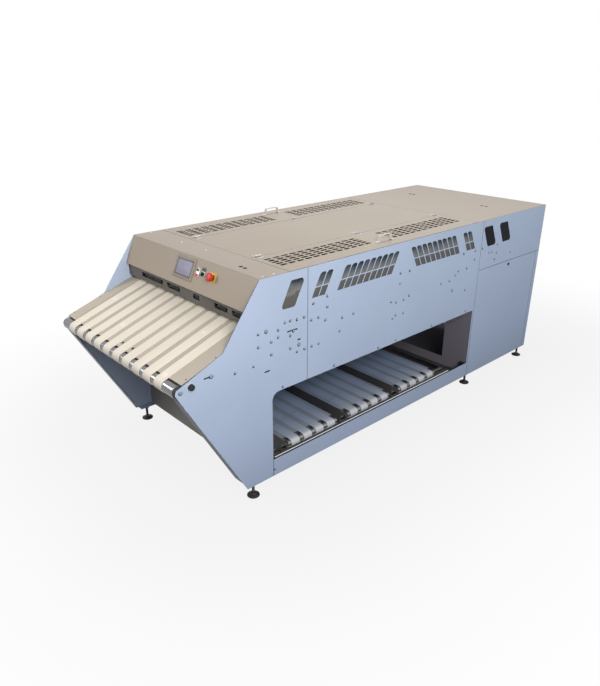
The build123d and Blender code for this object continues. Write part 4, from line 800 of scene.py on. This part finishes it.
well_floors = bmesh.ops.extrude_discrete_faces(double_bezel, faces=well_tops)["faces"]
well_corners = list({vert for face in well_floors for vert in face.verts})
bmesh.ops.translate(double_bezel, verts=well_corners, vec=(0, 0, -well_depth))
selector_ring = turned(
    ((0.0135, 0), (0.0160, 0), (0.0160, 0.0045), (0.0150, 0.0060), (0.0135, 0.0060), (0.0135, 0)), 36
)
mushroom_ring = turned(
    ((0.0085, 0), (0.0200, 0), (0.0200, 0.0095), (0.0180, 0.0120), (0.0085, 0.0120), (0.0085, 0)), 40
)
side_button_spot = (side_face, -1.932, 1.010)
side_ring = turned(
    ((0.0205, 0), (0.0232, 0), (0.0232, 0.0050), (0.0220, 0.0070), (0.0205, 0.0070), (0.0205, 0)),
    40, side_button_spot, (1, 0, 0),
)
bezels = fitted(
    joined(
        put(double_bezel, across_fascia(double_x)), put(selector_ring, across_fascia(selector_x)), side_ring
    ),
    "pale_switch_bezels", switch_silver,
)
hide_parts("switch_bezels")
bare_plate = slab(0.042, 0.022, 0, 0.0012, 0.002, 0.0003)
plate_x, plate_up = 0.212, 0.033
collar = slab(0.066, 0.066, 0, 0.0022, 0.006, 0.0005)
pilot_lamp = turned(((0.0048, 0.0075), (0.0048, 0.0090), (0.0030, 0.0100), (0, 0.0104)), 20)
for form, place, name, finish in (
    (mushroom_ring, across_fascia(mushroom_x), "mushroom_ring", switch_black),
    (bare_plate, across_fascia(plate_x, plate_up), "selector_plate", switch_black),
    (collar, across_fascia(mushroom_x), "mushroom_plate", collar_yellow),
    (pilot_lamp, across_fascia(double_x), "pilot_lamp", lamp_white),
):
    fitted(put(form, place), name, finish)
for name, up, finish, slot in (
    ("start_button", cap_rows[0], cap_green, "green_cap"), ("stop_button", cap_rows[1], cap_red, "red_cap"),
):
    cap = slab(0.0218, 0.0198, 0.0082, 0.0128, 0.006, 0.0018)
    button = fitted(put(cap, across_fascia(double_x, up)), name + "_cap", finish, name)
    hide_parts(name)

knob_base = turned(
    ((0.0060, 0.0062), (0.0130, 0.0062), (0.0130, 0.0140), (0.0118, 0.0152), (0, 0.0152)), 36
)
knob_grip = slab(0.0068, 0.0250, 0.0145, 0.0238, 0.003, 0.0016)
selector = fitted(
    put(joined(knob_base, knob_grip), across_fascia(selector_x)),
    "selector_grip", switch_black, "selector_knob",
)
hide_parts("selector_knob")
mushroom_outline = (
    (0.0070, 0.0125), (0.0075, 0.0183), (0.0255, 0.0185), (0.0273, 0.0195), (0.0280, 0.0220),
    (0.0280, 0.0318), (0.0270, 0.0345), (0.0240, 0.0364), (0.0170, 0.0377), (0.0090, 0.0382), (0, 0.0383),
)
mushroom = fitted(
    put(turned(mushroom_outline, 44), across_fascia(mushroom_x)),
    "emergency_mushroom", cap_red, "estop_button",
)
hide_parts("estop_button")

# Side push button: a large dark cap in a pale ring on the right front plate, within reach of the operator.
# The cap is turned plastic with a dished face, and a spring pushes it out again.
cap_dark = mottled("cap_dark", (0.014, 0.016, 0.024), (0.024, 0.027, 0.038), 0.02, 0.30, 0.0008, 0.0001)
side_cap_outline = (
    (0.0188, -0.0050), (0.0200, 0.0020), (0.0200, 0.0195), (0.0192, 0.0222), (0.0172, 0.0238),
    (0.0130, 0.0242), (0.0080, 0.0236), (0, 0.0232),
)
side_cap = fitted(
    turned(side_cap_outline, 40, side_button_spot, (1, 0, 0)),
    "side_button_cap", cap_dark, "side_button",
)
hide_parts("side_button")

# Roof covers: flat folded sheets in the warm grey of the fascia, screwed down over the frame beams.
# Small raised head screws on washers hold them down, and a few plugged holes are left for lifting eyes.
# Painted shade: the covers and lids are darker towards their front and rear ends.
roof_painted_shade = (
    (0, (0.90, 0.88, 0.88)), (0.16, (0.95, 0.93, 0.92)), (0.35, (1, 1, 1)), (0.60, (1, 1, 1)),
    (1, (0.92, 0.90, 0.92)),
)
roof_front, roof_rear = -1.45, 2.05
cover_dark, cover_light = (0.405, 0.347, 0.286), (0.430, 0.370, 0.307)
cover_coat = mottled("cover_coat", cover_dark, cover_light, 0.8, 0.42)
graded(cover_coat, "Y", roof_front, roof_rear, roof_painted_shade)
dressed(cover_coat, "front_top_cover", "centre_top_cover", "rear_top_cover")
roof_face = 1.540
screw_zinc = mottled(
    "screw_zinc", (0.42, 0.44, 0.48), (0.52, 0.54, 0.58), 0.01, 0.30, 0.0006, 0.0002, metallic=0.85
)
zinc = mottled(
    "zinc_plate", (0.36, 0.36, 0.37), (0.50, 0.50, 0.51), 0.01, 0.32, 0.0008, 0.0002, metallic=1.0
)
roof_screw = ((0.0070, 0), (0.0066, 0.0016), (0.0048, 0.0028), (0.0022, 0.0032), (0, 0.0033))
roof_washer = ((0.0055, 0.0002), (0.0105, 0.0002), (0.0105, 0.0008), (0.0100, 0.0012), (0.0055, 0.0012))
roof_spots = (
    (-0.320, -1.260), (-0.012, -1.260), (0.279, -1.260), (0.722, -1.275), (0.723, -1.362), (-0.722, -1.275),
    (-0.723, -1.362), (-0.309, 1.012), (-0.022, 1.016), (0.296, 1.020), (0.722, 1.060), (-0.722, 1.060),
    (0.722, 1.960), (-0.722, 1.960), (-0.309, 1.985), (-0.022, 1.985), (0.296, 1.985),
)
plug = ((0.0140, 0), (0.0137, 0.0012), (0.0105, 0.0018), (0.0098, 0.0008), (0, 0.0008))
plug_spots = (
    (0.466, -1.327), (0.510, -1.327), (-0.449, 1.543), (-0.405, 1.543), (0.382, 1.545), (0.426, 1.545),
)
for outline, steps, spots, name, finish, slot in (
    (roof_screw, 12, roof_spots, "roof_screws", screw_zinc, "steel"),
    (roof_washer, 14, roof_spots, "roof_washers", zinc, "steel"),
    (plug, 20, plug_spots, "roof_plugs", pad_black, "black_plastic"),
):
    fixing = turned(outline, steps, (0, 0, roof_face))
    fitted(repeated(fixing, [(x, y, 0) for x, y in spots]), name, finish)

# Roof lids: two slotted sheets with folded stiffening ribs underneath, hinged along the middle of the roof.
# Their outer edges lift for access to the belts. They share the warm grey coat with its painted shade, and the
# edges of the sheet round the slots and seams are painted dark as painted shade.
lid_coat = mottled("lid_coat", cover_dark, cover_light, 0.8, 0.42)
graded(lid_coat, "Y", roof_front, roof_rear, roof_painted_shade)
# Painted shade: a thin band at the sheet's edges is painted dark.
sheet_zone = 0.010
graded(
    lid_coat, "Z", roof_face - sheet_zone, roof_face,
    ((0, (1, 1, 1)), (0.72, (0.10, 0.10, 0.10)), (0.95, (1, 1, 1))), "CONSTANT",
)
dressed(lid_coat, "right_lid", "left_lid")

# Lid hinges: pressed steel butt hinges, three to a lid, with a rolled barrel on a plain pin.
# One leaf is screwed to the middle cover and the other to the lid, with countersunk screws.
hinge_line, hinge_level = 0.355, 1.546
barrel_radius, barrel_bore, barrel_edge = 0.006, 0.0032, 0.0004
hinge_spots = (-1.0983, -0.1225, 0.8533)
hinge_length, end_knuckle, hinge_gap = 0.050, 0.0145, 0.001
leaf_inner, leaf_outer, leaf_thickness = 0.0068, 0.045, 0.0025
leaf_screw = ((0.0042, 0), (0.0038, 0.0008), (0.0018, 0.0011), (0, 0.0006))


def barrel(length, middle):
    """One rolled knuckle of a hinge, along the hinge line."""
    half = length / 2
    outline = (
        (barrel_bore, -half), (barrel_radius - barrel_edge, -half), (barrel_radius, -half + barrel_edge),
        (barrel_radius, half - barrel_edge), (barrel_radius - barrel_edge, half),
        (barrel_bore, half), (barrel_bore, -half),
    )
    return turned(outline, 24, middle, (0, 1, 0))


def leaf(hand, line, spot):
    """A flat leaf with rounded outer corners and four screw heads, on one side of the hinge line."""
    sheet = slab(leaf_outer - leaf_inner, hinge_length, 0, leaf_thickness, 0.004, 0.0005)
    screws = repeated(
        turned(leaf_screw, 10, (0, 0, leaf_thickness)),
        [(x, y, 0) for x in (-0.008, 0.010) for y in (-0.015, 0.015)],
    )
    middle = (line + hand * (leaf_inner + leaf_outer) / 2, spot, roof_face)
    return put(joined(sheet, screws), Matrix.Translation(middle) @ Matrix.Scale(hand, 4, (1, 0, 0)))


def outward(bm):
    bmesh.ops.recalc_face_normals(bm, faces=bm.faces)
    return bm


pin_reach = hinge_length / 2
hinge_pin = (
    (0, -pin_reach - 0.0010), (0.0026, -pin_reach - 0.0010), (0.0030, -pin_reach),
    (0.0030, pin_reach), (0.0026, pin_reach + 0.0010), (0, pin_reach + 0.0010),
)
fixed_forms, moving_forms = [], {"right": [], "left": []}
for hand, side in ((1, "right"), (-1, "left")):
    line = hand * hinge_line
    for spot in hinge_spots:
        for end in (-1, 1):
            fixed_forms.append(
                barrel(end_knuckle, (line, spot + end * (hinge_length - end_knuckle) / 2, hinge_level))
            )
        fixed_forms.append(outward(leaf(-hand, line, spot)))
        fixed_forms.append(turned(hinge_pin, 16, (line, spot, hinge_level), (0, 1, 0)))
        moving_forms[side].append(
            barrel(hinge_length - 2 * (end_knuckle + hinge_gap), (line, spot, hinge_level))
        )
        moving_forms[side].append(outward(leaf(hand, line, spot)))
hinge_steel = mottled(
    "hinge_steel", (0.42, 0.42, 0.42), (0.54, 0.54, 0.53), 0.03, 0.30, 0.0008, 0.0002, metallic=0.6
)
fixed_hinges = fitted(joined(*fixed_forms), "fixed_hinge_leaves", hinge_steel)
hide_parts("lid_hinges")
for side, forms in moving_forms.items():
    fitted(joined(*forms), side + "_hinge_leaves", hinge_steel, side + "_lid")

# Lid handles: flat bar bent into a low bow and screwed to the lid near its outer edge, two screws to a foot.
# They are painted a paler shade of the covers, and the bends are rounded.
handle_coat = mottled("handle_coat", (0.585, 0.540, 0.480), (0.640, 0.592, 0.530), 0.1, 0.40, 0.0014, 0.0003)
handle_middle, handle_half, handle_foot = -0.1413, 0.066, 0.024
handle_rise, handle_bar, handle_width = 0.052, 0.005, 0.024
handle_line, handle_bend, handle_screw_shift = 0.640, 0.008, 0.008
handle_screw = ((0.0050, 0), (0.0046, 0.0014), (0.0024, 0.0022), (0, 0.0023))
for hand, side in ((1, "right"), (-1, "left")):
    bow = bmesh.new()
    skin = handle_bar / 2
    profile = (
        (-handle_half - handle_foot, skin), (-handle_half + skin, skin),
        (-handle_half + skin, handle_rise - skin), (handle_half - skin, handle_rise - skin),
        (handle_half - skin, skin), (handle_half + handle_foot, skin),
    )
    line = [bow.verts.new((-handle_width / 2, y, z)) for y, z in profile]
    for pair in zip(line, line[1:]):
        bow.edges.new(pair)
    bmesh.ops.bevel(
        bow, geom=line[1:-1], offset=handle_bend, segments=6, profile=0.5, affect="VERTICES", material=-1
    )
    strip = bmesh.ops.extrude_edge_only(bow, edges=list(bow.edges))
    bmesh.ops.translate(bow, verts=verts_of(strip["geom"]), vec=(handle_width, 0, 0))
    bmesh.ops.recalc_face_normals(bow, faces=bow.faces)
    bmesh.ops.translate(bow, verts=bow.verts, vec=(hand * handle_line, handle_middle, roof_face))
    foot_reach = handle_half + handle_foot / 2
    foot_screws = repeated(
        turned(handle_screw, 12, (0, 0, roof_face + handle_bar)),
        [(hand * handle_line + x, handle_middle + y, 0)
         for x in (-handle_screw_shift, handle_screw_shift) for y in (-foot_reach, foot_reach)],
    )
    handle = fitted(bow, side + "_handle", handle_coat, side + "_lid", crease=50)
    wall = handle.modifiers.new("bar", "SOLIDIFY")
    wall.thickness = handle_bar
    wall.offset = 0
    soft = handle.modifiers.new("edges", "BEVEL")
    soft.width = 0.0008
    soft.segments = 2
    soft.limit_method = "ANGLE"
    soft.angle_limit = math.radians(50)
    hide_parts(side + "_lid_fittings")
    fitted(foot_screws, side + "_handle_screws", screw_zinc, side + "_lid")

# Rear cabinet: a folded rear cover, a service door on the right that tilts out, and the control plate inside.
# Door and cover are powder coated like the sides, the plate is bare zinc steel with moulded control gear on it.
dressed(side_coat, "cabinet_door", "rear_cover")
gear_grey = mottled("gear_grey", (0.230, 0.235, 0.240), (0.280, 0.285, 0.290), 0.1, 0.50, 0.0010, 0.0003)
plate_zinc = mottled(
    "plate_zinc", (0.46, 0.47, 0.48), (0.58, 0.58, 0.58), 0.03, 0.40, 0.0010, 0.0002, metallic=0.9
)
dressed(plate_zinc, "control_plate")
dressed(gear_grey, "control_gear")
dressed(pad_black, "mains_gland")

# Door lock: a quarter turn lock with a round blackened head, a square for the key in its dished face and a
# steel cam behind. The head sits in a washer on the door skin near its top edge.
lock_axis = Vector((side_face, 1.501, 1.072))
lock_outline = (
    (0, -0.0260), (0.0105, -0.0260), (0.0105, -0.0040), (0.0108, 0.0001), (0.0150, 0.0001), (0.0150, 0.0026),
    (0.0140, 0.0038), (0.0080, 0.0040), (0.0074, 0.0030), (0.0060, 0.0012), (0, 0.0012),
)
facing_side = Matrix.Rotation(math.pi / 2, 4, "Y")
key_middle = lock_axis + Vector((0.0010, 0, 0))
lock_key = put(
    slab(0.0060, 0.0060, 0, 0.0024, 0.0008, 0.0004), Matrix.Translation(key_middle) @ facing_side
)
cam_end, cam_clear, cam_inset = 1.508, 0.0001, 0.0005
cam_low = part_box("door_lock")[0]
cam_middle = Vector((cam_low.x + cam_clear, (cam_low.y + cam_inset + cam_end) / 2, lock_axis.z))
lock_cam = put(slab(0.014, 0.058, 0, 0.005, 0.004, 0.0006), Matrix.Translation(cam_middle) @ facing_side)
lock = fitted(
    joined(turned(lock_outline, 36, lock_axis, (1, 0, 0)), lock_key, lock_cam),
    "door_lock_cam", black_steel, "door_lock",
)
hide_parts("door_lock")
